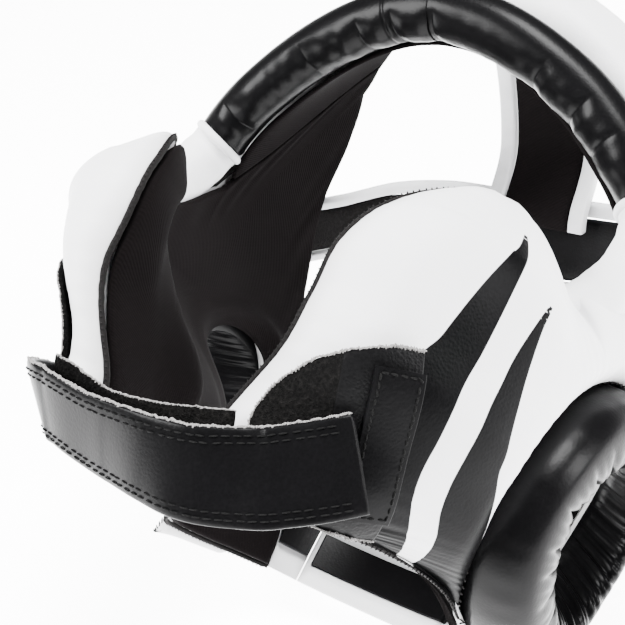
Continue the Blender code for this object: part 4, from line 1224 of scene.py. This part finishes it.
# Chin strap: black leather strap from under the right cheek round the chin to the left tab, with
# two rows of stitching along each edge and its raw upper edge showing pale fibres, over an inner
# strap of loop fabric.
CHIN_STRAP_WIDTH = 0.0235
CHIN_STRAP_THICKNESS = 0.0026
INNER_STRAP_WIDTH = 0.023
INNER_STRAP_THICKNESS = 0.0018
STITCH_ROWS = (0.0022, 0.0040)
STRAP_STITCH = (0.0031, 0.0024, 0.00026)
# How much wider the strap is at its free end
STRAP_SPREAD = 0.12
# azimuth, level, share of the cheek padding, outward lean of the upper edge in degrees
OUTER_STRAP_LINE = [
    (-72, -0.70, 1.16, 32),
    (-58, -0.775, 1.16, 36),
    (-45, -0.815, 1.20, 38),
    (-34, -0.840, 1.20, 38),
    (-18, -0.887, 0.98, 38),
    (-4, -0.918, 0.86, 38),
    (10, -0.925, 1.12, 32),
    (20, -0.907, 1.36, 20),
    (29, -0.845, 1.37, 6),
    (33, -0.800, 1.35, 2),
    (37, -0.744, 1.35, 0),
    (41, -0.679, 1.33, 0),
]
INNER_STRAP_LINE = [
    (-20, -0.830, 0.93, 36),
    (-17, -0.839, 0.88, 36),
    (-13, -0.856, 0.74, 37),
    (-3, -0.878, 0.56, 38),
    (10, -0.868, 0.74, 30),
    (19, -0.840, 0.98, 16),
    (24, -0.815, 1.12, 8),
]


def strap_course(table, steps):
    line = curve_through([(a, l, h * CHEEK_PADDING, math.radians(t)) for a, l, h, t in table], steps)
    centre = skin(line[:, 0], line[:, 1], line[:, 2])
    up = unit(skin(line[:, 0], line[:, 1] + 0.05, line[:, 2]) - centre)
    out = unit(skin(line[:, 0], line[:, 1], line[:, 2] + 0.05) - centre)
    return centre, up * np.cos(line[:, 3:]) + out * np.sin(line[:, 3:])


STRAP_LEATHER = black_leather("strap_leather", 0.0)
centre, up = strap_course(OUTER_STRAP_LINE, 300)
chin_size = (CHIN_STRAP_WIDTH, CHIN_STRAP_THICKNESS)
sections, marks, across, out = strap_sections(centre, up, *chin_size, 36, STRAP_SPREAD)
fit(tube("chin_strap_leather", sections, STRAP_LEATHER, marks), "black_leather", "chin_strap_outer")
if (out[150] @ (centre[150] - centre.mean(0))) < 0:
    out = -out
half = 0.5 * CHIN_STRAP_WIDTH
face = centre + out * (0.5 * CHIN_STRAP_THICKNESS + 0.00005)
for index, inset in enumerate([sign * (half - row) for row in STITCH_ROWS for sign in (1, -1)]):
    row = face + across * (inset + math.copysign(half, inset) * (widening(len(centre), STRAP_SPREAD) - 1))
    piece = thread("strap_stitches_%d" % index, row[4:-4], out[4:-4], *STRAP_STITCH, DARK_THREAD, 0, 0.05)
    fit(piece, "black_leather")
raw = centre + across * half * widening(len(centre), STRAP_SPREAD)
fit(frayed_edge("strap_fray", raw, across, 0.00036, FRAYED, 7), "loop_fabric")

centre, up = strap_course(INNER_STRAP_LINE, 200)
sections, marks, across, out = strap_sections(centre, up, INNER_STRAP_WIDTH, INNER_STRAP_THICKNESS, 36)
fit(tube("inner_strap_loops", sections, LOOPS, marks), "loop_fabric", "chin_strap_inner")
raw = centre + across * 0.5 * INNER_STRAP_WIDTH
fit(frayed_edge("inner_strap_fray", raw, across, 0.00022, FRAYED, 9), "loop_fabric")
